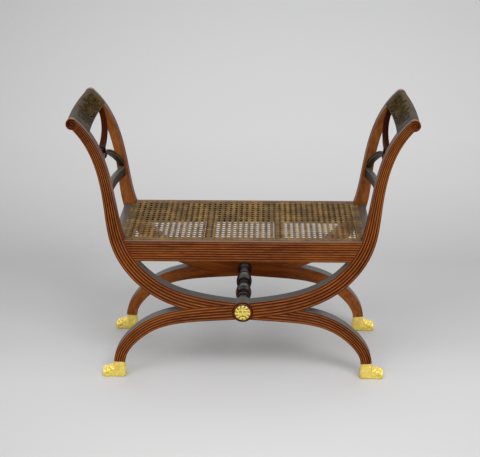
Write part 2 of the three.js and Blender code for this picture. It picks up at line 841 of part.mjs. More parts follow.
const paw = geometryOf(pawFoot());
place('front_left_paw', paw, gilt);
place('front_right_paw', reflected(paw, 'x'), gilt);
place('rear_left_paw', reflected(paw, 'y'), gilt);
place('rear_right_paw', reflected(reflected(paw, 'x'), 'y'), gilt);

export default bench;
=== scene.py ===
import math

import bmesh
import bpy
import numpy as np
from mathutils import Euler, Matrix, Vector


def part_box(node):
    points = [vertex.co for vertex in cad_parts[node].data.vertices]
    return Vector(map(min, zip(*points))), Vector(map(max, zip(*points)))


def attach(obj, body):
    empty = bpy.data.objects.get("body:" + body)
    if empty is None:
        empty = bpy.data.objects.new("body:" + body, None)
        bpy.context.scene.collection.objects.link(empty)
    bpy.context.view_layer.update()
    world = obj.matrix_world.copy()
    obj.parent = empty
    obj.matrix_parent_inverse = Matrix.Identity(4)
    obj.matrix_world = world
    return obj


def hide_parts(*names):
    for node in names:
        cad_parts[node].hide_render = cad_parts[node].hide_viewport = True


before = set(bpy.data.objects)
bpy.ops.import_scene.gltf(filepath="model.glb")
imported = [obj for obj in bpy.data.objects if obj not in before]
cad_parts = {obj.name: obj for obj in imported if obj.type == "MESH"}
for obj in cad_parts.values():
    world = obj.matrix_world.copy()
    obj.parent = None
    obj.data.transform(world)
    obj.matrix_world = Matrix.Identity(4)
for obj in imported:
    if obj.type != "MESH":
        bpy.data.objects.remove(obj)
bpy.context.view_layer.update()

# A window bench on crossed, reeded mahogany frames, in metres.
# Places come from the frame; sizes that the frame doesn't give are named here.

# Crossed members, as shares of the scroll centre's reach and height
CURVE_SHARES = [
    (-0.772, 0.106), (-0.658, 0.195), (-0.459, 0.255), (-0.128, 0.271), (0.252, 0.291),
    (0.569, 0.3585), (0.785, 0.529), (0.793, 0.728), (0.875, 0.933),
]
CURVE_END_SHARES = (-0.15, 0.06)
CURVE_SAMPLES, FINE_STATIONS, BAND_STATIONS = 4000, 1600, 120
MEMBER_WIDTHS = (0.033, 0.041, 0.0495, 0.049, 0.043, 0.030, 0.028)
MEMBER_THICKNESS, MEMBER_STATIONS = 0.040, 210
ANKLE_REACH, ANKLE_HEIGHT = 0.3745, 0.051
SCROLL_RADIUS = 0.0165
MEMBER_REEDS, REED_DEPTH = 5, 0.0026
CLEARANCE, OVERRUN = 0.0003, 0.004

# Seat
RAIL_REEDS, RAIL_REED_DEPTH, RAIL_END_CUT = 8, 0.0018, 0.004
BINDING_WIDTH, BINDING_RISE = 0.0062, 0.0017
CANE_COLUMNS, CANE_ROWS = 42, 19
STRAND_WIDTH, STRAND_THICKNESS, DIAGONAL_WIDTH, TIE_WIDTH = 0.0031, 0.0009, 0.0023, 0.0024
PAIR_SPREAD, STRAND_DRIFT = 0.0019, 0.00012
CANE_SAG, NOTCH_GAP = 0.0025, 0.0012

# Marks of the hollow on plain faces of the seat frame: a lighter tone of rubbing and painted highlight on the rail,
# and painted shade on the rear rail's top, the braces and the rails' inner faces
RUBBED_AND_LIT_RAIL, SHADED_TOP, SHADED_BRACE, SHADED_INSIDE = -0.36, 0.3, 0.35, 0.6

# Arms
CREST_DROP, CREST_LAP, CREST_THICKNESS, CREST_BOW = 0.037, 0.022, 0.022, 0.005
CARVING_FOOT, CARVING_TALL, CARVING_HALF = 0.006, 0.056, 0.132
GROUND_DEPTH, CARVING_RELIEF = 0.0024, 0.0030
MID_RAIL_THICKNESS, MID_RAIL_BOW = 0.017, 0.019
BAR_WIDTH, BAR_THICKNESS, BAR_BOW, BAR_GROOVE = 0.015, 0.018, 0.022, 0.0012
ARCH_FOOT_SHARE, ARCH_TOP_SHARE, BOWL_TOP_SHARE = 0.434, 0.66, 1.02
COLLAR_RELIEF = 0.003

# Turned parts
STRETCHER_RADIUS = 0.0245
STRETCHER_SHARES = [
    (0, 0.66), (0.02, 0.66), (0.03, 0.8), (0.06, 0.8), (0.08, 0.72), (0.15, 0.92), (0.3, 1), (0.45, 0.92),
    (0.53, 0.68), (0.54, 0.62), (0.55, 0.76), (0.59, 0.8), (0.63, 0.76), (0.65, 0.68), (0.72, 0.66),
    (0.82, 0.68), (0.92, 0.87), (1, 0.91),
]
BOSS_RADIUS, RING_RADIUS, MASK_RADIUS = 0.0325, 0.0275, 0.0235

# Paws
PAW_OVERHANG, TOE_PITCH, TOE_RECESS = 0.0070, 0.0104, 0.0030
PAW_VOXEL, PAW_SOFTENING = 0.0009, 8

# Places from the frame
member_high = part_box("front_member_to_right_arm")[1]
REACH = member_high.x - SCROLL_RADIUS
RISE = member_high.z - SCROLL_RADIUS
INNER_FACE = -member_high.y
SHOW_FACE = INNER_FACE + MEMBER_THICKNESS
rail_low, rail_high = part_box("front_seat_rail")
SEAT = rail_high.z
RAIL_FACE = -rail_low.y
ARM_END = INNER_FACE - CLEARANCE

SHARP_ANGLE = math.radians(38)
scene = bpy.context.scene


# Mesh helpers

def fetch(items, field, width, kind=np.float32):
    """One row of values for each item of a mesh."""
    values = np.empty(len(items) * width, kind)
    items.foreach_get(field, values)
    return values.reshape(-1, width)


def mark(mesh, name, values):
    """Stores one number or one vector for each point of a mesh."""
    values = np.asarray(values, np.float32)
    kind, field = ("FLOAT_VECTOR", "vector") if values.ndim == 2 else ("FLOAT", "value")
    if name in mesh.attributes:
        mesh.attributes.remove(mesh.attributes[name])
    mesh.attributes.new(name, kind, "POINT").data.foreach_set(field, values.ravel())


def points_of(mesh):
    return fetch(mesh.vertices, "co", 3).astype(float)


def move_points(mesh, places):
    mesh.vertices.foreach_set("co", places.astype(np.float32).ravel())


def new_object(name, mesh):
    piece = bpy.data.objects.new(name, mesh)
    scene.collection.objects.link(piece)
    return piece


def smooth(mesh):
    mesh.shade_smooth()
    mesh.set_sharp_from_angle(angle=SHARP_ANGLE)


def dress(mesh, grain, hollow):
    """Marks a mesh with grain coordinates and the depth of its hollows, and smooths it.

    In wood, the hollow is 0 on a plain face and up to 1 in carving, -1 on the crown of a reed and -2 in the
    groove beside it. The finish paints shade where the hollow is deep, in carving and grooves, and a highlight
    on the crowns. A plain face at -0.5 takes the lighter tone of rubbing and painted highlight, and one at -0.2
    doesn't.
    """
    mark(mesh, "grain", grain)
    mark(mesh, "hollow", np.broadcast_to(hollow, len(mesh.vertices)))
    smooth(mesh)


def make(name, points, faces, grain, hollow):
    """A closed mesh object."""
    mesh = bpy.data.meshes.new(name)
    mesh.from_pydata(np.asarray(points, float).tolist(), [], faces)
    shape = bmesh.new()
    shape.from_mesh(mesh)
    bmesh.ops.recalc_face_normals(shape, faces=shape.faces)
    shape.to_mesh(mesh)
    shape.free()
    dress(mesh, grain, hollow)
    return new_object(name, mesh)


def quads(index):
    """Quads between each ring of point numbers and the next."""
    side = np.roll(index, -1, axis=1)
    return np.stack([index[:-1], side[:-1], side[1:], index[1:]], axis=-1).reshape(-1, 4).tolist()


def tube_faces(rings, count, start=0):
    """Quads between rings of points, with a cap on each end."""
    index = start + np.arange(rings * count).reshape(rings, count)
    return quads(index) + [index[0][::-1].tolist(), index[-1].tolist()]


def sweep(name, rings, along, section, hollow=0.0):
    """A solid through rings of points, with grain running from ring to ring."""
    rings = np.asarray(rings)
    grain = np.empty(rings.shape)
    grain[..., 0] = along[:, None]
    grain[..., 1:] = section
    hollow = np.broadcast_to(hollow, rings.shape[:2]).ravel()
    return make(name, rings.reshape(-1, 3), tube_faces(*rings.shape[:2]), grain.reshape(-1, 3), hollow)


def mirrored(piece, name, axis, shift=0.0):
    """A copy reflected across the plane square to an axis, with its grain shifted along."""
    mesh = piece.data.copy()
    mesh.name = name
    places = points_of(mesh)
    places[:, axis] *= -1
    move_points(mesh, places)
    mesh.flip_normals()
    mark(mesh, "grain", fetch(mesh.attributes["grain"].data, "vector", 3) + np.float32(shift))
    return new_object(name, mesh)


def discard(piece):
    mesh = piece.data
    bpy.data.objects.remove(piece)
    bpy.data.meshes.remove(mesh)


def apply_modifiers(piece):
    depsgraph = bpy.context.evaluated_depsgraph_get()
    mesh = bpy.data.meshes.new_from_object(piece.evaluated_get(depsgraph))
    old = piece.data
    piece.modifiers.clear()
    piece.data = mesh
    bpy.data.meshes.remove(old)


def carve(piece, *cutters, operation="DIFFERENCE"):
    """Cuts solids from another, or joins them on, and discards them."""
    for cutter in cutters:
        modifier = piece.modifiers.new("carve", "BOOLEAN")
        modifier.object, modifier.operation, modifier.solver = cutter, operation, "EXACT"
        apply_modifiers(piece)
        discard(cutter)


def columns(*values):
    """Places from their coordinates, which are spread to one shape."""
    return np.stack(np.broadcast_arrays(*values), axis=-1)


def circle(turns):
    """Points on the unit circle."""
    return columns(np.cos(turns), np.sin(turns))


def full_turn(count):
    return np.arange(count) / count * 2 * math.pi


def rounded_outline(half_width, half_height, radius, steps):
    """A rectangle with round corners, as points round its edge."""
    points = []
    for quarter, (sx, sy) in enumerate([(1, 1), (-1, 1), (-1, -1), (1, -1)]):
        turns = np.linspace(0, math.pi / 2, steps + 1) + quarter * math.pi / 2
        points.append((sx * (half_width - radius), sy * (half_height - radius)) + radius * circle(turns))
    return np.concatenate(points)


def board(name, low, high, axis, edge, hollow=0.0):
    """A plain board with eased edges, its grain along one axis."""
    low, high = np.array(low), np.array(high)
    shape = bmesh.new()
    bmesh.ops.create_cube(shape, size=1)
    for vertex in shape.verts:
        vertex.co = Vector((low + high) / 2 + np.array(vertex.co) * (high - low))
    bmesh.ops.bevel(
        shape, geom=list(shape.edges), offset=edge, segments=3, profile=0.5, affect="EDGES", clamp_overlap=True,
    )
    mesh = bpy.data.meshes.new(name)
    shape.to_mesh(mesh)
    shape.free()
    dress(mesh, np.roll(points_of(mesh), -axis, axis=1), hollow)
    return new_object(name, mesh)


# Lines

def unit(vectors):
    return vectors / np.linalg.norm(vectors, axis=1)[:, None]


def directions(line):
    """The directions along a flat line, and square to them on its left."""
    tangent = unit(np.gradient(line, axis=0))
    return tangent, columns(-tangent[:, 1], tangent[:, 0])


def running_length(line):
    return np.concatenate([[0], np.cumsum(np.linalg.norm(np.diff(line, axis=0), axis=1))])


def evenly(line, count):
    """Points spaced evenly along a flat line, and how far along it they are."""
    lengths = running_length(line)
    along = np.linspace(0, lengths[-1], count)
    return columns(*(np.interp(along, lengths, values) for values in line.T)), along


def catmull_rom(values, shares):
    """A smooth curve through evenly placed values, at shares of its length."""
    values = np.asarray(values, float)
    last = len(values) - 1
    place = np.clip(shares, 0, 1) * last
    left = np.minimum(place.astype(int), last - 1)
    part = place - left
    before, first = values[np.maximum(left - 1, 0)], values[left]
    second, after = values[left + 1], values[np.minimum(left + 2, last)]
    if values.ndim == 2:
        part = part[:, None]
    v0, v1 = (second - before) / 2, (after - first) / 2
    return (
        (2 * first - 2 * second + v0 + v1) * part ** 3
        + (-3 * first + 3 * second - 2 * v0 - v1) * part ** 2 + v0 * part + first
    )


def b_spline(points, values):
    """A clamped cubic B-spline with evenly spaced knots, at values from 0 to 1."""
    points = np.asarray(points, float)
    knots = np.concatenate([np.zeros(3), np.linspace(0, 1, len(points) - 2), np.ones(3)])
    values = np.clip(values, 0, 1 - 1e-9)
    weights = ((knots[:-1, None] <= values) & (values < knots[1:, None])).astype(float)
    for degree in (1, 2, 3):
        rows = len(knots) - degree - 1
        low, high = knots[:rows], knots[degree:degree + rows]
        low_next, high_next = knots[1:1 + rows], knots[degree + 1:degree + 1 + rows]
        rising = np.where(high > low, high - low, np.inf)[:, None]
        falling = np.where(high_next > low_next, high_next - low_next, np.inf)[:, None]
        weights = (
            (values - low[:, None]) / rising * weights[:-1]
            + (high_next[:, None] - values) / falling * weights[1:]
        )
    return weights.T @ points


# The middle line of the front member that rises to the right arm

curve_points = [(-ANKLE_REACH, ANKLE_HEIGHT)]
curve_points += [(x * REACH, z * RISE) for x, z in CURVE_SHARES]
curve_points += [(REACH + CURVE_END_SHARES[0] * SCROLL_RADIUS, RISE + CURVE_END_SHARES[1] * SCROLL_RADIUS)]


class Stations:
    """Places spaced evenly along the member: middle, direction to its inner side, and width."""

    def __init__(self, count):
        self.middle, self.along = evenly(b_spline(curve_points, np.linspace(0, 1, CURVE_SAMPLES)), count)
        self.inward = directions(self.middle)[1]
        self.width = catmull_rom(MEMBER_WIDTHS, self.along / self.along[-1])


FINE = Stations(FINE_STATIONS)
CROSSING = float(np.interp(0, FINE.middle[:, 0], FINE.middle[:, 1]))
rising_half = FINE.middle[:, 0] > 0


def at_height(height, values):
    """What the right stile has at a height."""
    return np.interp(height, FINE.middle[rising_half, 1], values[rising_half])


def stile_x(height):
    """Where the right stile's middle line is at a height."""
    return at_height(height, FINE.middle[:, 0])


# Crossed members

def reeds(width, depth, count, deep):
    """The outline of a board that is worked into round reeds on its outer side."""
    ease, fillet, fullness, turns = 0.001, width * 0.02, 0.47, np.linspace(math.pi, 0, 9)
    pitch = (width - 2 * fillet) / count
    points = [(width / 2 - ease, 0), (-width / 2 + ease, 0), (-width / 2, ease), (-width / 2, depth - deep)]
    for i in range(count):
        centre = -width / 2 + fillet + (i + 0.5) * pitch
        for turn in turns:
            dip = deep * (1 - math.sin(turn) ** 0.8)
            points.append((centre + fullness * pitch * math.cos(turn), depth - dip))
    return np.array(points + [(width / 2, depth - deep), (width / 2, ease)])


def member_rings(stations, sections):
    places = stations.middle[:, None] + sections[..., :1] * stations.inward[:, None]
    return columns(places[..., 0], -INNER_FACE - sections[..., 1], places[..., 1])


def band(name, near, far):
    """A plain band along the member between two depths, a little wider than it."""
    stations = Stations(BAND_STATIONS)
    sections = np.array([
        [(-w, near), (w, near), (w, far), (-w, far)] for w in stations.width / 2 + CLEARANCE / 2
    ])
    return sweep(name, member_rings(stations, sections), stations.along, sections)


def member_grain(points):
    """Places along, across and out from the member, for points near it, and its width there."""
    flat = points[:, [0, 2]]
    nearest = np.concatenate([
        np.argmin(((part[:, None, :] - FINE.middle[None]) ** 2).sum(axis=2), axis=1)
        for part in np.array_split(flat, max(1, len(flat) // 2000))
    ])
    across = ((flat - FINE.middle[nearest]) * FINE.inward[nearest]).sum(axis=1)
    return FINE.along[nearest], across, -points[:, 1] - INNER_FACE, FINE.width[nearest]


def scroll_disc():
    """The volute on the member's end: a band that winds in to a small eye."""
    start, decay = math.radians(232), math.log(1 / 0.44) / (2 * math.pi)
    proud, deep, groove, eye, ease = 0.0012, 0.0031, 0.0014, 0.2, 0.0006
    theta = full_turn(72)
    phase = (start - theta) % (2 * math.pi)
    lines = [SCROLL_RADIUS * np.exp(-decay * (phase + 2 * math.pi * n)) for n in (0, 1)]
    rings = []
    for share in np.linspace(0.02, 0.93, 26):
        dip = sum(np.exp(-((SCROLL_RADIUS * share - line) / groove) ** 2) for line in lines)
        dome = ease * max(0, 1 - (share / eye) ** 2)
        rings.append((share, SHOW_FACE + proud - ease + dome - deep * np.clip(dip, 0, 1) * (share > eye)))
    rings += [(0.97, SHOW_FACE + proud - 1.5 * ease), (1.0, SHOW_FACE - ease), (1.0, INNER_FACE)]
    x, z = SCROLL_RADIUS * circle(theta).T
    places = [columns(REACH + share * x, -out, RISE + share * z) for share, out in rings]
    return sweep("scroll", places, np.zeros(len(rings)), 0)


def dress_member(piece, side):
    """Marks the grain; the reeds, with a painted highlight on their crowns and painted shade in their grooves;
    painted shade in the coil of the scroll; and painted light on the inner face of a member, growing away from the
    crossing.
    """
    ease, touch, coil_share, shaded_reach, brightening_reach = 0.0006, 0.0004, 0.94, 0.12, 0.15
    places = points_of(piece.data) * (side, 1, 1)
    along, across, out, width = member_grain(places)
    reeded = -1 - np.clip((MEMBER_THICKNESS - out) / REED_DEPTH, 0, 1)
    coil = np.hypot(places[:, 0] - REACH, places[:, 2] - RISE) < SCROLL_RADIUS * coil_share
    plain = (np.abs(across) > width / 2 - ease) | (out < MEMBER_THICKNESS - REED_DEPTH - touch)
    # Painted light: the inner face keeps its plain tone near the crossing and takes more of the lighter tone further
    # out
    rubbed_and_lit = -0.2 - 0.20 * np.clip((np.abs(places[:, 0]) - shaded_reach) / brightening_reach, 0, 1)
    # Painted shade in the coil of the scroll, darkest in its groove
    hollow = np.select([out < touch, plain, coil], [rubbed_and_lit, 0, 0.2 + (-1 - reeded) * 0.8], reeded)
    dress(piece.data, columns(along + side, across, out), hollow)


def roundel(near, far, grow):
    """The disc through the crossing that is the boss's ground, between two depths."""
    radius = BOSS_RADIUS + grow
    return turned("roundel", [(-INNER_FACE - far, radius), (-INNER_FACE - near, radius)], 96)


def crossed_members():
    stations = Stations(MEMBER_STATIONS)
    outlines = np.array([reeds(w, MEMBER_THICKNESS, MEMBER_REEDS, REED_DEPTH) for w in stations.width])
    right = sweep("front_right_stile", member_rings(stations, outlines), stations.along, outlines)
    half = MEMBER_THICKNESS / 2
    back_half = -OVERRUN, half + CLEARANCE / 2
    front_half = half - CLEARANCE / 2, MEMBER_THICKNESS + OVERRUN
    back, front = band("back_band", *back_half), band("front_band", *front_half)
    back_disc, front_disc = roundel(*back_half, CLEARANCE), roundel(*front_half, CLEARANCE)
    back_of_left = mirrored(back, "back_of_left", 0)
    carve(right, scroll_disc(), roundel(0.0001, MEMBER_THICKNESS - 0.0002, 0), operation="UNION")
    carve(right, crest_room())
    left = mirrored(right, "front_left_stile", 0)
    carve(right, back_of_left, back_disc)
    carve(left, front, front_disc)
    discard(back)
    dress_member(right, 1)
    dress_member(left, -1)
    return right, left


# Seat frame

def seat_rail():
    """The front rail, reeded, with its ends cut to the members."""
    ease, touch, reed_edge = 0.001, 0.0005, 0.0003
    height, depth = rail_high.z - rail_low.z, RAIL_FACE - INNER_FACE
    middle = SEAT - height / 2
    outline = reeds(height, depth, RAIL_REEDS, RAIL_REED_DEPTH)
    ends = np.array([-1.0, 1.0]) * (rail_high.x - RAIL_END_CUT)
    rings = columns(ends[:, None], -INNER_FACE - outline[:, 1], middle + outline[:, 0])
    rail = sweep("front_rail", rings, ends, outline)
    cutter = band("rail_cut", -OVERRUN, MEMBER_THICKNESS + OVERRUN)
    carve(rail, cutter, mirrored(cutter, "rail_cut_left", 0))
    places = points_of(rail.data)
    out = -places[:, 1] - INNER_FACE
    reeded = -1 - np.clip((depth - out) / RAIL_REED_DEPTH, 0, 1)
    plain = (out < depth - RAIL_REED_DEPTH - reed_edge) | (np.abs(places[:, 2] - middle) > height / 2 - ease)
    # Painted shade on the inner face; the lighter tone of rubbing and painted highlight on the plain faces
    hollow = np.select([out < touch, plain], [SHADED_INSIDE, RUBBED_AND_LIT_RAIL], reeded)
    dress(rail.data, columns(places[:, 0], places[:, 2], out), hollow)
    return rail


def darken_top(mesh):
    """Paints shade over a rail's lighter plain faces: gives them the dark of a hollow."""
    depth = fetch(mesh.attributes["hollow"].data, "value", 1).ravel()
    mark(mesh, "hollow", np.where(np.abs(depth - RUBBED_AND_LIT_RAIL) < 0.01, SHADED_TOP, depth))


def cross_board(name, box, edge, hollow=0.0):
    """A plain board from one long rail to the other."""
    low, high = box
    return board(name, (low.x, -ARM_END, low.z), (high.x, ARM_END, high.z), 1, edge, hollow)


# Cane

panel_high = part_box("cane_panel")[1]
HOLE_X = panel_high.x - BINDING_WIDTH / 2 - CLEARANCE
HOLE_Y = panel_high.y - BINDING_WIDTH / 2 - CLEARANCE
STILE_EDGE = stile_x(SEAT) - at_height(SEAT, FINE.width) / 2 / at_height(SEAT, np.abs(FINE.inward[:, 0]))
NOTCH_X = STILE_EDGE - BINDING_WIDTH / 2 - NOTCH_GAP
NOTCH_Y = INNER_FACE - BINDING_WIDTH / 2 - CLEARANCE
PITCH_X, PITCH_Y = 2 * HOLE_X / CANE_COLUMNS, 2 * HOLE_Y / CANE_ROWS
CANE_LEVEL = SEAT + 0.0009
STRAND_SHAPE = np.array([(-0.5, -0.4), (0.5, -0.4), (0.5, 0.1), (0, 0.45), (-0.5, 0.1)])


class Strands:
    """Collects ribbons of cane into one mesh."""

    def __init__(self):
        self.parts, self.faces, self.count = [], [], 0

    def add(self, path, width, thickness, tone):
        """A ribbon with a rounded top along a path."""
        path = np.asarray(path, float)
        along = unit(np.gradient(path, axis=0))
        side = unit(columns(along[:, 1], -along[:, 0], 0))
        up = np.cross(side, along)
        across, rise = STRAND_SHAPE[:, :1] * width, STRAND_SHAPE[:, 1:] * thickness
        rings = path[:, None] + across * side[:, None] + rise * up[:, None]
        grain = columns(running_length(path)[:, None], across[:, 0], tone)
        # How far below the top each point lies, which the cane finish paints as shade
        dips = np.tile(0.5 - STRAND_SHAPE[:, 1], len(path))
        self.parts.append((rings.reshape(-1, 3), grain.reshape(-1, 3), dips))
        self.faces += tube_faces(*rings.shape[:2], self.count)
        self.count += len(dips)

    def build(self, name):
        points, grain, dips = (np.concatenate(part) for part in zip(*self.parts))
        return make(name, points, self.faces, grain, dips)


def seat_level(x, y):
    """The height of the cane's middle, which sags a little inside the frame."""
    sag = np.clip(1 - (x / HOLE_X) ** 2, 0, 1) * np.clip(1 - (y / HOLE_Y) ** 2, 0, 1)
    return CANE_LEVEL - CANE_SAG * sag


def held(x, y):
    """True inside the line of holes, which steps in round each stile."""
    inside = (np.abs(x) <= HOLE_X + 1e-6) & (np.abs(y) <= HOLE_Y + 1e-6)
    return inside & ((np.abs(x) <= NOTCH_X + 1e-6) | (np.abs(y) <= NOTCH_Y + 1e-6))


def longest_run(keep):
    """The first and last index of the longest run of True."""
    edges = np.flatnonzero(np.diff(np.concatenate([[0], keep.astype(int), [0]])))
    starts, ends = edges[::2], edges[1::2]
    if not len(starts):
        return 0, 0
    best = np.argmax(ends - starts)
    return starts[best], ends[best]


def woven_line(cells, pitch, offset, parity):
    """Places and heights along a strand that goes over and under crossing pairs."""
    lift, reach = STRAND_THICKNESS * 0.5, 0.005
    places, heights = [-offset], [0.0]
    for cell in range(1, cells):
        centre = cell * pitch - offset
        places += [centre - reach, centre - PAIR_SPREAD, centre + PAIR_SPREAD, centre + reach]
        heights += [0.0, lift * parity, -lift * parity, 0.0]
    return np.array(places + [cells * pitch - offset]), np.array(heights + [0.0])


def clipped(strands, x, y, lift, width, tone):
    """Adds the part of a strand that lies inside the line of holes."""
    first, last = longest_run(held(x, y))
    if last - first > 2:
        path = columns(x, y, seat_level(x, y) + lift)
        strands.add(path[first:last], width, STRAND_THICKNESS, tone)


def woven_cane(random):
    """Pairs of strands both ways, and single strands along both diagonals."""
    strands = Strands()
    cells, pitches = (CANE_COLUMNS, CANE_ROWS), (PITCH_X, PITCH_Y)
    holes, notches = (HOLE_X, HOLE_Y), (NOTCH_X, NOTCH_Y)
    for across, along, order in ((0, 1, 1), (1, 0, -1)):
        for line in range(1, cells[across]):
            for parity in (1, -1):
                run, lift = woven_line(cells[along], pitches[along], holes[along], parity)
                place = line * pitches[across] - holes[across] - parity * PAIR_SPREAD
                place += random.normal(0, STRAND_DRIFT)
                limit = notches[along] if abs(place) > notches[across] else holes[along]
                run = np.clip(run, -limit, limit)
                keep = np.concatenate([[True], np.diff(run) > 1e-6])
                x, y = [np.full(len(run), place)[keep], run[keep]][::order]
                clipped(strands, x, y, order * lift[keep], STRAND_WIDTH, random.random())
    steps = 4
    u = np.arange(0, CANE_COLUMNS * steps + 1) / steps
    for direction in (1, -1):
        wave = -direction * STRAND_THICKNESS * 0.8 * np.cos(2 * math.pi * u)
        for line in range(CANE_COLUMNS + CANE_ROWS):
            v = (line + 0.5 - u) if direction > 0 else (u - line - 0.5 + CANE_ROWS)
            x, y = u * PITCH_X - HOLE_X, v * PITCH_Y - HOLE_Y
            clipped(strands, x, y, wave, DIAGONAL_WIDTH, random.random())
    return strands.build("woven_cane")


def notched_path(inset):
    """The stepped line round the panel, inset from the line of holes."""
    x, y, notch_x, notch_y = (value - inset for value in (HOLE_X, HOLE_Y, NOTCH_X, NOTCH_Y))
    quarter = [(x, notch_y), (notch_x, notch_y), (notch_x, y)]
    path = []
    for sx, sy, turn in ((1, 1, 1), (-1, 1, -1), (-1, -1, 1), (1, -1, -1)):
        path += [(sx * px, sy * py) for px, py in quarter[::turn]]
    return np.array(path)


def binding_strip():
    """The wide cane that covers the holes, and the loops that tie it down."""
    profile = [(-0.5, 0.0), (-0.46, 0.55), (-0.25, 0.9), (0, 1.0), (0.25, 0.9), (0.46, 0.55), (0.5, 0.0)]
    middle = notched_path(0)
    corners = len(middle)
    rings = np.stack([
        columns(*notched_path(across * BINDING_WIDTH).T, SEAT + rise * BINDING_RISE) for across, rise in profile
    ], axis=1)
    index = np.arange(corners * len(profile)).reshape(corners, len(profile))
    # The binding's edges get painted shade
    points, edge_dips = rings.reshape(-1, 3), [0.6, 0.2, 0, 0, 0, 0.2, 0.6]
    strip = make("binding_cane", points, quads(np.vstack([index, index[:1]])), points, np.tile(edge_dips, corners))
    ties = Strands()
    loop = [(-0.62, 0.1), (-0.5, 0.8), (-0.2, 1.25), (0.2, 1.25), (0.5, 0.8), (0.62, 0.1)]
    for start, end in zip(middle, np.roll(middle, -1, axis=0)):
        length = np.linalg.norm(end - start)
        direction = (end - start) / length
        across = np.array([direction[1], -direction[0]])
        count = max(1, round(length / (2 * PITCH_X)))
        for tie in range(count):
            centre = start + direction * length * (tie + 0.5) / count
            path = [
                (*(centre + across * share * BINDING_WIDTH), SEAT + rise * BINDING_RISE) for share, rise in loop
            ]
            ties.add(path, TIE_WIDTH, STRAND_THICKNESS * 0.7, tie * 0.37 % 1)
    return strip, ties.build("binding_ties")


# Arms

CREST_FOOT = RISE - CREST_DROP


def arm_height(share):
    return SEAT + share * (CREST_FOOT - SEAT)


ARCH_TOP = arm_height(ARCH_TOP_SHARE)
BOWL_BOTTOM = ARCH_TOP + BAR_WIDTH + CLEARANCE


def bow_at(y, most):
    return most * np.maximum(0, 1 - (y / INNER_FACE) ** 2)


def crest_profile():
    """The crest's section, from the foot of its inner face up, over the roll and down its outer face."""
    top = rising_half & (FINE.middle[:, 1] > CREST_FOOT)
    middle, inward, width = FINE.middle[top], FINE.inward[top], FINE.width[top][:, None]
    centre = np.array([REACH, RISE])
    inner = middle + inward * width / 2
    inner = inner[np.linalg.norm(inner - centre, axis=1) > SCROLL_RADIUS]
    outer = (middle + inward * (width / 2 - CREST_THICKNESS))[::-1]
    outer = outer[np.linalg.norm(outer - centre, axis=1) > SCROLL_RADIUS * 0.9]
    start = math.atan2(*(inner[-1] - centre)[::-1])
    roll = centre + SCROLL_RADIUS * circle(start - np.linspace(0.03, 1.05 * math.pi, 40))
    line, along = evenly(np.concatenate([inner, roll, outer]), 150)
    for _ in range(6):
        line[1:-1] = line[1:-1] * 0.5 + (line[:-2] + line[2:]) * 0.25
    return line, along


def leaf(u, v, place, angle, length, width):
    """The height of a pointed leaf with a sunk rib, from 0 to 1."""
    du, dv = u - place[0], v - place[1]
    a = (du * math.cos(angle) + dv * math.sin(angle)) / length
    b = (-du * math.sin(angle) + dv * math.cos(angle)) / width
    half = np.sin(math.pi * np.clip(a, 0.001, 0.999) ** 0.75)
    dome = np.clip(1 - (b / np.maximum(half, 0.05)) ** 2, 0, 1) * ((a > 0) & (a < 1))
    return np.sqrt(dome) * (1 - 0.45 * np.exp(-(b / 0.16) ** 2))


def stem(u, v, path, thick):
    """The height of a round stem along a path, from 0 to 1."""
    gap = np.full(u.shape, 1.0)
    for x, y in path:
        gap = np.minimum(gap, np.hypot(u - x, v - y))
    return np.sqrt(np.clip(1 - (gap / thick) ** 2, 0, 1))


def crest_carving(u, v, tall):
    """A band of scrolling leaves on a sunk ground: u along the crest from its middle, v up it."""
    u = np.abs(u)
    forms = [leaf(u, v, (0, tall * 0.08), math.pi / 2 - fan * 0.46, tall * 0.80, 0.0058) for fan in range(4)]
    for centre, size, spin, phase in ((0.046, 0.44, 1, 0.0), (0.083, 0.40, -1, math.pi), (0.115, 0.30, 1, 0.3)):
        turns = np.linspace(0, 3.0 * math.pi, 70)
        radius = tall * size * np.exp(-0.21 * turns)[:, None]
        path = (centre, tall * (0.5 + 0.06 * spin)) + radius * circle(phase + spin * turns + math.pi)
        forms += [0.9 * stem(u, v, path, 0.0024), stem(u, v, path[-1:], 0.0040)]
        for step in (3, 13, 23, 33):
            heading = math.atan2(*(path[step] - path[step - 2])[::-1])
            forms.append(leaf(u, v, path[step], heading - spin * 0.9, tall * size * 0.80, 0.0050))
    return np.max(forms, axis=0)


def crest_rings(line, y):
    """The crest's section, or its sections, at places from stile to stile."""
    return columns(line[..., 0] + bow_at(y, CREST_BOW)[:, None], y[:, None], line[..., 1])


def crest_room():
    """The room that the crest takes in its neighbours, with a clearance."""
    line, _ = crest_profile()
    tangent, normal = directions(line)
    line = line + CLEARANCE * normal
    line[0] -= CLEARANCE * tangent[0]
    line[-1] += CLEARANCE * tangent[-1]
    end = INNER_FACE + CREST_LAP + CLEARANCE
    y = np.concatenate([[-end], np.linspace(-INNER_FACE, INNER_FACE, 25), [end]])
    return sweep("crest_room", crest_rings(line, y), y, 0)


def blurred(field, reach):
    """A field spread over its neighbours."""
    for _ in range(reach):
        padded = np.pad(field, 1, mode="edge")
        field = (padded[:-2, 1:-1] + padded[2:, 1:-1] + padded[1:-1, :-2] + padded[1:-1, 2:] + 2 * field) / 6
    return field


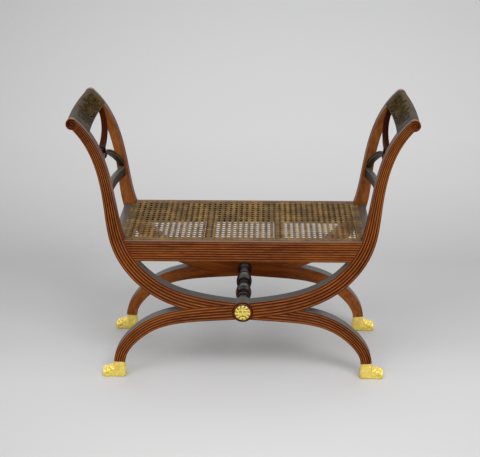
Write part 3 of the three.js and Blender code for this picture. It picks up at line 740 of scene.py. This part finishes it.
def crest_rail():
    line, along = crest_profile()
    _, normal = directions(line)
    end, tall = INNER_FACE + CREST_LAP, CARVING_TALL
    y = end * np.linspace(-1, 1, 301)
    u, v = np.meshgrid(y, along - CARVING_FOOT, indexing="ij")
    carved = crest_carving(u, v, tall) * (np.abs(u) < CARVING_HALF) * (v > 0) * (v < tall)
    near = np.clip(blurred(carved, 12) * 3.6, 0, 1)
    fillet = np.exp(-((v + 0.0015) / 0.0009) ** 2)
    fillet += np.exp(-((end - np.abs(u) - 0.004) / 0.0008) ** 2) * (v > 0)
    sunk = near * GROUND_DEPTH - CARVING_RELIEF * blurred(carved, 1)
    sunk += 0.0008 * np.clip(fillet, 0, 1) * (v < tall * 1.3)
    rings = crest_rings(line - sunk[..., None] * normal, y)
    # The sunk ground's depth is marked as its hollow, which the finish paints as shade
    return sweep("right_crest", rings, y, columns(along, 0), np.clip(sunk / GROUND_DEPTH, 0, 1))


def arm_sweep(name, y, z, most, outline):
    """A bar from stile to stile that bows out with the arm."""
    slope = np.gradient(z, y)
    norm = np.sqrt(1 + slope ** 2)
    rings = columns(
        (stile_x(z) + bow_at(y, most))[:, None] + outline[:, 1],
        y[:, None] - outline[:, 0] * (slope / norm)[:, None],
        z[:, None] + outline[:, 0] / norm[:, None],
    )
    return sweep(name, rings, y, outline)


def mid_rail():
    low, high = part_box("right_mid_rail")
    y = ARM_END * np.linspace(-1, 1, 61)
    outline = rounded_outline((high.z - low.z) / 2, MID_RAIL_THICKNESS / 2, 0.0045, 5)
    return arm_sweep("right_mid_bar", y, np.full(61, (low.z + high.z) / 2), MID_RAIL_BOW, outline)


def bar_outline():
    """A bow's section: eased edges, and a hollow along its inner face."""
    outline = rounded_outline(BAR_WIDTH / 2, BAR_THICKNESS / 2, 0.0016, 3)
    inner = np.flatnonzero(outline[:, 1] < -BAR_THICKNESS / 2 + 1e-6)
    edge = np.sort(outline[inner, 0])
    dip = np.linspace(edge[0] * 0.62, edge[-1] * 0.62, 7)
    hollow = [(x, -BAR_THICKNESS / 2 + BAR_GROOVE * math.sin(math.pi * i / 6)) for i, x in enumerate(dip)]
    return np.insert(outline, inner[0] + 1, hollow, axis=0)


def bow_bar(name, end_height, middle_height):
    """An arc from stile to stile."""
    sag = abs(end_height - middle_height)
    radius = (ARM_END ** 2 + sag ** 2) / (2 * sag)
    side = np.sign(end_height - middle_height)
    most = math.asin(min(0.98, (ARM_END + BAR_WIDTH) / radius))
    y = radius * np.sin(np.linspace(-1, 1, 85) * most)
    z = middle_height + side * (radius - np.sqrt(radius ** 2 - y ** 2))
    piece = arm_sweep(name, y, z, BAR_BOW, bar_outline())
    carve(piece, board("arm_span", (0, -ARM_END, SEAT), (1, ARM_END, 1), 0, 0.001), operation="INTERSECT")
    return piece


def upper_bow():
    bow = bow_bar("right_bowl", arm_height(BOWL_TOP_SHARE), BOWL_BOTTOM)
    carve(bow, crest_room())
    smooth(bow.data)
    return bow


def lower_bow():
    return bow_bar("right_arch", arm_height(ARCH_FOOT_SHARE), ARCH_TOP)


def collar():
    """The carved tie round both bows: three rings and two reeds between them."""
    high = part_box("right_bow_collar")[1]
    profile = [
        (-1.0, 0.62), (-0.97, 0.8), (-0.84, 0.94), (-0.7, 0.8), (-0.66, 0.6), (-0.45, 0.66), (-0.3, 0.7),
        (-0.26, 0.84), (-0.13, 0.98), (0, 1.0),
    ]
    y, grow = np.array(profile + [(-y, grow) for y, grow in profile[-2::-1]]).T
    y = y * high.y
    tall, deep = (BOWL_BOTTOM - ARCH_TOP + BAR_WIDTH) / 2, BAR_THICKNESS / 2
    centre_z = (ARCH_TOP + BOWL_BOTTOM) / 2
    lean = (stile_x(BOWL_BOTTOM) - stile_x(ARCH_TOP)) / (BOWL_BOTTOM - ARCH_TOP)
    rings = []
    for place, relief in zip(y, COLLAR_RELIEF * grow):
        outline = rounded_outline(tall + relief, deep + relief, 0.004, 5)
        x = stile_x(centre_z) + BAR_BOW + outline[:, 1] + lean * np.clip(outline[:, 0], -tall / 2, tall / 2)
        rings.append(columns(x, place, centre_z + outline[:, 0]))
    # Painted shade in the necks between the rings
    return sweep("right_collar", rings, y, outline, np.clip((0.9 - grow) * 2, 0, 1)[:, None])


# Turned parts

def turned(name, profile, segments, hollow=0.0):
    """A turning along Y at the crossing, from places and radii along it."""
    y, radii = np.asarray(profile, float).T
    section = radii[:, None, None] * circle(full_turn(segments))
    rings = columns(section[..., 0], y[:, None], CROSSING + section[..., 1])
    return sweep(name, rings, y, section, hollow)


def stretcher():
    both = [(-y, r) for y, r in STRETCHER_SHARES[:0:-1]] + STRETCHER_SHARES
    crisp = both[:1]
    for before, after in zip(both, both[1:]):
        if abs(after[0] - before[0]) > 0.05:
            crisp.append(((before[0] + after[0]) / 2, (before[1] + after[1]) / 2))
        crisp.append(after)
    y, radii = catmull_rom(np.array(crisp), np.linspace(0, 1, 330)).T
    radii = radii * STRETCHER_RADIUS
    around = np.array([np.mean(radii[max(0, i - 12):i + 13]) for i in range(len(radii))])
    # Painted shade in the coves: how far the radius lies below its neighbours'
    hollow = np.clip((around - radii) / 0.0016, 0, 1)
    return turned("turned_stretcher", columns(y * ARM_END, radii), 64, hollow[:, None])


def boss():
    """The turned wooden ring that carries the mask."""
    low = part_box("front_boss")[0]
    back = SHOW_FACE + CLEARANCE
    deep = -low.y - back
    profile = [  # Share of the depth, radius and hollow, which paints shade in the ring's recess
        (0, 0.0005, 0), (0, BOSS_RADIUS, 0), (0.18, BOSS_RADIUS, 0), (0.30, BOSS_RADIUS - 0.0004, 0),
        (0.38, BOSS_RADIUS - 0.0014, 0.2), (0.40, RING_RADIUS + 0.0016, 0.9), (0.36, RING_RADIUS + 0.0008, 1),
        (0.44, RING_RADIUS, 1), (0.72, RING_RADIUS + 0.0002, 0.1), (0.90, RING_RADIUS - 0.0006, 0),
        (0.98, RING_RADIUS - 0.0016, 0), (1.0, RING_RADIUS - 0.0024, 0.2), (0.94, RING_RADIUS - 0.0030, 0.8),
        (0.90, MASK_RADIUS + 0.0002, 1), (0.90, 0.0005, 1),
    ]
    share, radius, hollow = np.array(profile).T
    return turned("front_ring", columns(-back - deep * share, radius), 72, hollow[:, None])


def mask():
    """A gilt lion mask in low relief: a mane of tufts round a brow, eyes, muzzle and chin."""
    low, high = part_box("front_rosette")
    back = -high.y
    turns, rows = 120, 46
    theta = full_turn(turns)
    share = np.linspace(0.01, 1, rows)[:, None]
    x, z = share * np.cos(theta), share * np.sin(theta)
    tufts = 0.5 + 0.5 * np.cos(11 * (theta - math.pi / 2) + 3 * (share - 0.8))
    height = 0.14 + 0.20 * np.sqrt(np.clip(1 - share ** 2, 0, 1))
    height = height + 0.42 * tufts * np.exp(-((share - 0.82) / 0.15) ** 2)
    features = [  # Place, half-sizes and height; those off the middle are on both sides
        (0.30, 0.34, 0.22, 0.10, 0.34), (0.29, 0.10, 0.17, 0.12, -0.50), (0.29, 0.09, 0.07, 0.06, 0.34),
        (0.50, -0.16, 0.14, 0.20, 0.20), (0.15, -0.28, 0.17, 0.15, 0.42), (0, 0.05, 0.11, 0.32, 0.40),
        (0, -0.13, 0.17, 0.10, 0.26), (0, -0.34, 0.04, 0.14, -0.34), (0, -0.52, 0.30, 0.07, -0.42),
        (0, -0.68, 0.18, 0.09, 0.30),
    ]
    for across, up, wide, tall, rise in features:
        for side in (-1, 1) if across else (1,):
            distance = ((x - side * across) / wide) ** 2 + ((z - up) / tall) ** 2
            height = height + rise * np.exp(-1.3 * distance)
    height = height * np.clip((1.02 - share) / 0.06, 0, 1) ** 0.5
    height = np.clip(height / height.max(), 0, 1) * (-low.y - back)
    # Painted shade in the mask's hollows, below the blurred height round them
    hollow = np.clip((blurred(height, 22) - height - 0.00004) / 0.00022, 0, 1)
    rings = columns(x * MASK_RADIUS, -back - height, CROSSING + z * MASK_RADIUS)
    rim = rings[-1].copy()
    rim[:, 1] = -back
    rings = np.concatenate([rings, rim[None]])
    hollow = np.concatenate([hollow, np.zeros((1, turns))])
    return sweep("front_mask", rings, rings[:, 0, 1], rings[..., [0, 2]], hollow)


# Paw feet

def lump(shape, place, radii, turn=0.0, tilt=0.0):
    """An ellipsoid of a given place, radii and turn about the vertical, tilted forward."""
    made = bmesh.ops.create_icosphere(shape, subdivisions=3, radius=1)["verts"]
    rotation = Euler((0, tilt, turn)).to_matrix()
    for vertex in made:
        local = Vector((vertex.co.x * radii[0], vertex.co.y * radii[1], vertex.co.z * radii[2]))
        vertex.co = rotation @ local + Vector(place)


def ankle_socket(shape, top, centre):
    """The square socket that the leg stands in, with a rounded heel."""
    levels = [  # Share of the height and half-sizes
        (0.0, 0.0150, 0.0165), (0.03, 0.0166, 0.0192), (0.1, 0.0176, 0.0210), (0.3, 0.0180, 0.0216),
        (0.6, 0.0168, 0.0206), (0.9, 0.0151, 0.0196), (1.0, 0.0150, 0.0195),
    ]
    corner_radius = 0.007
    corners = [
        shape.verts.new((centre[0] + x, centre[1] + y, share * top))
        for share, half_x, half_y in levels for x, y in rounded_outline(half_x, half_y, corner_radius, 4)
    ]
    for face in tube_faces(len(levels), len(corners) // len(levels)):
        shape.faces.new([corners[i] for i in face])


def paw():
    """The front left paw: four toes with knuckles and claws, and tufts at the ankle."""
    body = [  # Place behind the tip, height and radii
        (0.036, 0.006, (0.031, 0.0205, 0.0120)), (0.036, 0.012, (0.028, 0.0212, 0.0140)),
        (0.045, 0.017, (0.020, 0.0202, 0.0140)), (0.053, 0.022, (0.014, 0.0190, 0.0140)),
    ]
    toe_forms = [  # Place behind the tip, share of the outer toes' recess, pitch, height, radii and tilt
        (0.0350, 0.7, 0.0092, 0.0208, (0.0120, 0.0052, 0.0078), 0.45),
        (0.0210, 1.0, TOE_PITCH, 0.0172, (0.0092, 0.0057, 0.0078), 0.4),
        (0.0092, 1.0, TOE_PITCH + 0.0003, 0.0130, (0.0086, 0.0058, 0.0088), 0.0),
        (0.0165, 1.0, TOE_PITCH, 0.0050, (0.0100, 0.0058, 0.0066), 0.0),
        (0.0066, 1.0, TOE_PITCH + 0.0005, 0.0062, (0.0044, 0.0030, 0.0050), -0.45),
    ]
    tufts = [  # Place from the ankle's middle, height, size and lean
        (0.001, 0.036, 0.9, 0.5), (-0.009, 0.027, 0.9, 0.2), (0.010, 0.026, 0.9, -0.1), (0.002, 0.016, 1.1, -0.4),
    ]
    low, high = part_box("front_left_paw")
    y = (low.y + high.y) / 2
    ankle_x = -ANKLE_REACH - 0.0004
    tip, splay, tuft_side, hollow_depth = low.x - PAW_OVERHANG, 0.09, 0.0192, 0.0004
    shape = bmesh.new()
    ankle_socket(shape, high.z, (ankle_x, y))
    for behind, z, radii in body:
        lump(shape, (tip + behind, y, z), radii)
    for place in (-1.5, -0.5, 0.5, 1.5):
        for behind, share, pitch, z, radii, tilt in toe_forms:
            x = tip + behind + abs(place) * TOE_RECESS * share
            lump(shape, (x, y + place * pitch, z), radii, -place * splay, tilt)
    for side in (-1, 1):
        for dx, z, size, lean in tufts:
            radii = (0.0058 * size, 0.0026, 0.0078 * size)
            lump(shape, (ankle_x + dx, y + side * tuft_side, z), radii, 0.0, lean)
    mesh = bpy.data.meshes.new("front_left_foot")
    shape.to_mesh(mesh)
    shape.free()
    piece = new_object("front_left_foot", mesh)
    skin = piece.modifiers.new("skin", "REMESH")
    skin.mode, skin.voxel_size = "VOXEL", PAW_VOXEL
    soften = piece.modifiers.new("soften", "SMOOTH")
    soften.factor, soften.iterations = 0.5, PAW_SOFTENING
    apply_modifiers(piece)
    places = points_of(piece.data)
    places[:, 0] = np.clip(places[:, 0], low.x, high.x)
    places[:, 2] = np.clip(places[:, 2], 0, high.z)
    move_points(piece.data, places)
    # Painted shade in the creases of the paw, from its concavity
    dress(piece.data, places, concavity(piece.data, hollow_depth))
    return piece


def concavity(mesh, scale):
    """How far each point lies below its neighbours, as a share of a scale."""
    places = points_of(mesh)
    first, second = fetch(mesh.edges, "vertices", 2, np.int32).T
    count = np.bincount(np.concatenate([first, second]), minlength=len(places))
    around = places
    for _ in range(6):
        total = np.zeros_like(places)
        np.add.at(total, first, around[second])
        np.add.at(total, second, around[first])
        around = total / np.maximum(count, 1)[:, None]
    hollow = ((around - places) * fetch(mesh.vertices, "normal", 3)).sum(axis=1)
    return np.clip(hollow / scale - 0.2, 0, 1)


# Finishes

class Finish:
    """The nodes of a material or a world, added by short calls."""

    def __init__(self, owner, shader="BsdfPrincipled", output="OutputMaterial"):
        owner.use_nodes = True
        self.owner, self.tree = owner, owner.node_tree
        self.tree.nodes.clear()
        self.shader = self.tree.nodes.new("ShaderNode" + shader)
        self.tree.links.new(self.shader.outputs[0], self.tree.nodes.new("ShaderNode" + output).inputs[0])

    def feed(self, socket, value):
        if isinstance(value, bpy.types.NodeSocket):
            self.tree.links.new(value, socket)
        else:
            socket.default_value = value

    def node(self, kind, inputs, output=0, **settings):
        made = self.tree.nodes.new("ShaderNode" + kind)
        for name, value in settings.items():
            setattr(made, name, value)
        for socket, value in inputs.items():
            self.feed(made.inputs[socket], value)
        return made.outputs[output]

    def attribute(self, name, output):
        return self.node("Attribute", {}, output, attribute_name=name)

    def geometry(self, output):
        return self.node("NewGeometry", {}, output)

    def part(self, vector, axis):
        return self.node("SeparateXYZ", {0: vector}, axis)

    def noise(self, vector, scale, detail, roughness=0.55):
        return self.node("TexNoise", {"Vector": vector, "Scale": scale, "Detail": detail, "Roughness": roughness})

    def stretched_noise(self, vector, scales, detail, roughness=0.55):
        vector = self.node("VectorMath", {0: vector, 1: scales}, operation="MULTIPLY")
        return self.noise(vector, 1.0, detail, roughness)

    def sum(self, first, second, clamp=False):
        return self.node("Math", {0: first, 1: second}, operation="ADD", use_clamp=clamp)

    def times(self, first, second):
        return self.node("Math", {0: first, 1: second}, operation="MULTIPLY")

    def spread(self, value, low, high, to_low=0.0, to_high=1.0):
        return self.node("MapRange", {0: value, 1: low, 2: high, 3: to_low, 4: to_high})

    def ramp(self, value, stops):
        made = self.tree.nodes.new("ShaderNodeValToRGB")
        self.feed(made.inputs[0], value)
        elements = made.color_ramp.elements
        while len(elements) < len(stops):
            elements.new(0.5)
        for element, (place, colour) in zip(elements, stops):
            element.position, element.color = place, (*colour, 1)
        return made.outputs[0]

    def blend(self, share, first, second, kind="MIX"):
        colours = [c if isinstance(c, bpy.types.NodeSocket) else (*c, 1) for c in (first, second)]
        return self.node("Mix", {0: share, 6: colours[0], 7: colours[1]}, 2, data_type="RGBA", blend_type=kind)

    def bumped(self, height, strength, distance):
        return self.node("Bump", {"Height": height, "Strength": strength, "Distance": distance})

    def surface(self, **values):
        for name, value in values.items():
            self.feed(self.shader.inputs[name.replace("_", " ")], value)
        return self.owner


def polished_wood(name, tones, dark, sheen_grey, sheen_share, rough, shine, front_sheen=0.0):
    """Polished wood: figure, streaks and pores along the grain; dark wax and painted shade in the hollows;
    crowns in a lighter tone of rubbing and painted highlight; a painted grey sheen on the faces that look up,
    more of it towards the front where asked; and a polish that is stronger on those faces and dull on the others."""
    wood = Finish(bpy.data.materials.new(name))
    grain = wood.attribute("grain", "Vector")
    hollow = wood.attribute("hollow", "Fac")
    figure = wood.stretched_noise(grain, (4.0, 42.0, 42.0), 3.0)
    streaks = wood.stretched_noise(grain, (11.0, 430.0, 430.0), 5.0, 0.6)
    pores = wood.stretched_noise(grain, (150.0, 2400.0, 2400.0), 2.0)
    wax = wood.stretched_noise(grain, (40.0, 90.0, 90.0), 3.0)
    bloom = wood.stretched_noise(grain, (16.0, 30.0, 30.0), 4.0)
    shade = wood.sum(wood.times(figure, 0.6), wood.times(streaks, 0.4))
    base = wood.ramp(shade, [(0.36, tones[0]), (0.50, tones[1]), (0.64, tones[2])])
    base = wood.blend(wood.spread(pores, 0.56, 0.68, 0.0, 0.55), base, dark)
    # Painted shade and dark wax: carving and the grooves of reeds go dark, in patches
    groove = wood.spread(hollow, -1.75, -1.02, 1.0, 0.0)
    plain = wood.spread(hollow, -0.5, -0.2)
    depth = wood.times(wood.sum(wood.spread(hollow, 0.0, 0.8), groove, True), wood.spread(wax, 0.3, 0.7, 0.8, 1.0))
    base = wood.blend(depth, base, dark)
    # Painted highlight with rubbing: the crowns of reeds, and plain faces marked below -0.2, take the lighter fourth
    # tone
    rubbed_and_lit = wood.times(wood.sum(1.0, wood.times(plain, -1.0)), wood.spread(hollow, -1.10, -1.0))
    base = wood.blend(wood.times(rubbed_and_lit, wood.spread(wax, 0.35, 0.6, 0.3, 0.75)), base, tones[3])
    # Painted sheen: faces that look up turn grey, standing in for the reflection of the light above
    upward = wood.part(wood.geometry("True Normal"), "Z")
    painted_sheen = wood.spread(wood.sum(upward, wood.spread(bloom, 0.3, 0.7, -0.12, 0.12)), 0.22, 0.85, 0.0, sheen_share)
    painted_sheen = wood.times(painted_sheen, wood.times(plain, wood.spread(hollow, 0.1, 0.3, 1.0, 0.0)))
    if front_sheen:
        # More painted sheen towards the front
        front = wood.part(wood.geometry("Position"), "Y")
        painted_sheen = wood.sum(painted_sheen, wood.spread(front, -0.17, -0.02, front_sheen, 0.0), True)
    base = wood.blend(painted_sheen, base, sheen_grey)
    roughness = wood.sum(wood.spread(bloom, 0.3, 0.7, rough - 0.06, rough + 0.08), wood.times(depth, 0.2))
    normal = wood.bumped(wood.sum(wood.times(streaks, 0.5), wood.times(pores, -0.5)), 0.35, 0.0004)
    polish = wood.times(wood.spread(upward, 0.35, 0.95, shine * 0.1, shine), wood.spread(depth, 0.0, 1.0, 1.0, 0.3))
    return wood.surface(Base_Color=base, Roughness=roughness, Normal=normal, Specular_IOR_Level=polish)


def cane_finish(name, tones, dark):
    """Split rattan: each strand has its own tone, with fine fibres along it, and painted shade on its sides and
    underside.
    """
    cane = Finish(bpy.data.materials.new(name))
    grain = cane.attribute("grain", "Vector")
    hollow = cane.attribute("hollow", "Fac")
    fibres = cane.stretched_noise(grain, (60.0, 2600.0, 7.0), 4.0)
    patches = cane.spread(cane.noise(cane.geometry("Position"), 20.0, 2.0), 0.34, 0.66)
    mottling = cane.sum(cane.times(fibres, 0.3), cane.times(patches, 0.40))
    shade = cane.sum(cane.times(cane.part(grain, "Z"), 0.45), mottling)
    base = cane.ramp(shade, [(0.3, tones[0]), (0.6, tones[1]), (0.9, tones[2])])
    # Painted shade on the strands' sides and undersides, and the binding's edges
    base = cane.blend(cane.times(hollow, 0.55), base, dark)
    normal = cane.bumped(fibres, 0.4, 0.0002)
    roughness = cane.spread(fibres, 0.3, 0.7, 0.42, 0.6)
    return cane.surface(Base_Color=base, Roughness=roughness, Normal=normal, Specular_IOR_Level=0.25)


def gilt_finish(name):
    """Water gilding: warm gold with soft waves, painted shade where it looks down and dark painted shade in the
    hollows.
    """
    gilt = Finish(bpy.data.materials.new(name))
    hollow = gilt.attribute("hollow", "Fac")
    clouds = gilt.noise(gilt.geometry("Position"), 70.0, 1.5)
    specks = gilt.noise(gilt.geometry("Position"), 900.0, 3.0)
    facing = gilt.part(gilt.geometry("Normal"), "Z")
    base = gilt.ramp(clouds, [(0.3, (0.90, 0.64, 0.12)), (0.55, (1.0, 0.80, 0.17)), (0.75, (1.0, 0.90, 0.28))])
    # Painted shade: deeper gold where the surface looks sideways or down
    base = gilt.blend(gilt.spread(facing, -0.7, 0.4, 0.5, 0.0), base, (0.60, 0.44, 0.04))
    base = gilt.blend(gilt.spread(specks, 0.68, 0.78, 0.0, 0.15), base, (0.50, 0.26, 0.04))
    # Painted shade in the hollows
    base = gilt.blend(gilt.times(hollow, 0.95), base, (0.20, 0.10, 0.012))
    roughness = gilt.sum(gilt.spread(clouds, 0.3, 0.7, 0.16, 0.28), gilt.times(hollow, 0.3))
    normal = gilt.bumped(clouds, 0.3, 0.0020)
    return gilt.surface(Base_Color=base, Roughness=roughness, Normal=normal, Metallic=0.38)


# Each wood: its tones, the last being the lighter tone of rubbing and painted highlight; the dark of pores, wax and
# painted shade; the grey of the painted sheen and its share; roughness; shine; and any painted sheen at the front
MAHOGANY = polished_wood(
    "polished_mahogany", [(0.075, 0.012, 0.002), (0.158, 0.032, 0.004), (0.280, 0.073, 0.009), (0.430, 0.160, 0.045)],
    (0.015, 0.002, 0.001), (0.078, 0.084, 0.078), 0.88, 0.36, 0.45,
)
SHADED_MAHOGANY = polished_wood(
    "shaded_mahogany", [(0.024, 0.012, 0.005), (0.044, 0.024, 0.012), (0.072, 0.040, 0.022), (0.120, 0.070, 0.042)],
    (0.005, 0.002, 0.001), (0.096, 0.098, 0.092), 0.85, 0.34, 0.30,
)
CREST_WOOD = polished_wood(
    "aged_mahogany", [(0.038, 0.020, 0.003), (0.064, 0.036, 0.006), (0.098, 0.060, 0.013), (0.150, 0.110, 0.060)],
    (0.003, 0.001, 0.001), (0.060, 0.061, 0.055), 0.0, 0.36, 0.03, 0.65,
)
RED_MAHOGANY = polished_wood(
    "red_mahogany", [(0.020, 0.003, 0.001), (0.042, 0.006, 0.001), (0.095, 0.018, 0.003), (0.150, 0.040, 0.010)],
    (0.005, 0.001, 0.001), (0.058, 0.054, 0.050), 0.0, 0.34, 0.06,
)
# A darker copy of the mahogany: its dark is painted shade, for the stretcher and the collar
SHADE_DARKENED_MAHOGANY = polished_wood(
    "dark_mahogany", [(0.012, 0.005, 0.003), (0.024, 0.009, 0.005), (0.046, 0.018, 0.010), (0.070, 0.035, 0.020)],
    (0.003, 0.001, 0.001), (0.036, 0.034, 0.030), 0.30, 0.28, 0.25,
)
CANE = cane_finish(
    "aged_cane", [(0.095, 0.048, 0.008), (0.190, 0.102, 0.017), (0.360, 0.205, 0.045)], (0.012, 0.005, 0.002),
)
GILT = gilt_finish("gilding")


# Assembly

def present(piece, node, material):
    """Gives a piece its finish, and lets it stand for a CAD node."""
    piece.data.materials.clear()
    piece.data.materials.append(material)
    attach(piece, "root")
    if node:
        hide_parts(node)


# The other side, the axis across to it, and the shift of its grain
OPPOSITES = {"front": ("rear", 1, (5.3, 0.7, 0.1)), "right": ("left", 0, (3.1, 0.4, 0.2))}


def present_pair(piece, node, material):
    """Presents a piece, and its mirror image as the one on the other side."""
    here = piece.name.split("_")[0]
    there, axis, shift = OPPOSITES[here]
    other = mirrored(piece, piece.name.replace(here, there), axis, shift)
    present(piece, f"{here}_{node}", material)
    present(other, f"{there}_{node}", material)


right_member, left_member = crossed_members()
present_pair(right_member, "member_to_right_arm", MAHOGANY)
present_pair(left_member, "member_to_left_arm", MAHOGANY)
present_pair(seat_rail(), "seat_rail", MAHOGANY)
darken_top(bpy.data.objects["rear_rail"].data)
rail = cross_board("right_rail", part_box("right_seat_rail"), 0.0008)
present_pair(rail, "seat_rail", MAHOGANY)
brace = cross_board("right_brace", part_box("right_seat_brace"), 0.0012, SHADED_BRACE)
present_pair(brace, "seat_brace", MAHOGANY)

present(woven_cane(np.random.default_rng(7)), "cane_panel", CANE)
binding, binding_ties = binding_strip()
present(binding, "cane_binding", CANE)
present(binding_ties, None, CANE)

present_pair(crest_rail(), "crest_rail", CREST_WOOD)
present_pair(mid_rail(), "mid_rail", SHADED_MAHOGANY)
present_pair(upper_bow(), "upper_bow", RED_MAHOGANY)
present_pair(lower_bow(), "lower_bow", SHADED_MAHOGANY)
present_pair(collar(), "bow_collar", SHADE_DARKENED_MAHOGANY)

present(stretcher(), "stretcher", SHADE_DARKENED_MAHOGANY)
present_pair(boss(), "boss", MAHOGANY)
present_pair(mask(), "rosette", GILT)

front_left = paw()
front_right = mirrored(front_left, "front_right_foot", 0)
for foot, side in ((front_left, "left"), (front_right, "right")):
    rear = mirrored(foot, f"rear_{side}_foot", 1)
    present(foot, f"front_{side}_paw", GILT)
    present(rear, f"rear_{side}_paw", GILT)


# Stage

def floor_finish():
    """A grey sweep with painted light and shade: darkest behind the bench and paler in front of it and far behind it,
    and darker towards the sides.
    """
    paper = Finish(bpy.data.materials.new("grey_sweep"))
    near, far = -1.5, 7.5
    greys = [
        (0.0, 0.745), (0.12, 0.725), (0.142, 0.71), (0.16, 0.66), (0.174, 0.605), (0.20, 0.555), (0.253, 0.482),
        (0.30, 0.535), (0.36, 0.59), (0.45, 0.62), (0.60, 0.605), (0.80, 0.575), (1.0, 0.55),
    ]
    x, y = (paper.part(paper.geometry("Position"), axis) for axis in "XY")
    # Painted falloff of the light along the sweep
    tone = paper.ramp(paper.spread(y, near, far), [(place, (grey, grey, grey * 1.008)) for place, grey in greys])
    away = paper.node("Math", {0: paper.sum(y, 4.6), 1: 2.6}, operation="MAXIMUM")
    aside = paper.sum(paper.node("Math", {0: x, 1: away}, operation="DIVIDE"), -0.03)
    # Painted shade towards the sides
    edge = paper.spread(paper.times(aside, aside), 0.0, 0.05, 1.0, 0.83)
    tone = paper.blend(1.0, tone, paper.node("CombineXYZ", {0: edge, 1: edge, 2: edge}), "MULTIPLY")
    return paper.surface(Base_Color=tone, Roughness=0.9, Specular_IOR_Level=0.1)


def floor():
    radius, count = 16.0, 96
    points = columns(*(radius * circle(full_turn(count))).T, 0)
    mesh = bpy.data.meshes.new("sweep_floor")
    mesh.from_pydata(points.tolist(), [], [list(range(count))])
    mesh.materials.append(floor_finish())
    new_object("sweep_floor", mesh)


def sky():
    """Soft light from all round, stronger overhead and from a wide panel behind the bench."""
    scene.world = bpy.data.worlds.new("studio")
    light = Finish(scene.world, "Background", "OutputWorld")
    direction = light.node("TexCoord", {}, "Generated")
    overhead = light.ramp(light.part(direction, "Z"), [(0.0, (0.44, 0.44, 0.44)), (0.9, (0.64, 0.64, 0.64))])
    behind = light.node("VectorMath", {0: direction, 1: (0.0, 0.80, 0.60)}, "Value", operation="DOT_PRODUCT")
    light.surface(Color=light.blend(1.0, overhead, light.spread(behind, 0.5, 0.95, 0.0, 0.4), "ADD"))


def sun(name, travel, strength, spread):
    lamp = bpy.data.lights.new(name, "SUN")
    lamp.energy = strength
    lamp.angle = math.radians(spread)
    piece = new_object(name, lamp)
    piece.rotation_mode = "QUATERNION"
    piece.rotation_quaternion = Vector(travel).to_track_quat("-Z", "Y")


def camera():
    lens = bpy.data.cameras.new("camera")
    lens.sensor_fit, lens.sensor_width, lens.lens = "HORIZONTAL", 36, 86.33
    lens.clip_start, lens.clip_end = 0.05, 60
    scene.camera = new_object("camera", lens)
    scene.camera.location = (0.0645, -3.3215, 1.6487)
    scene.camera.rotation_euler = Euler([math.radians(turn) for turn in (69.637, 0.03, 1.309)])


floor()
sky()
sun("key", (-0.45, 0.85, -1.0), 1.05, 24)
sun("fill", (0.55, 0.72, -1.0), 0.60, 30)
camera()
scene.view_settings.view_transform = "Standard"
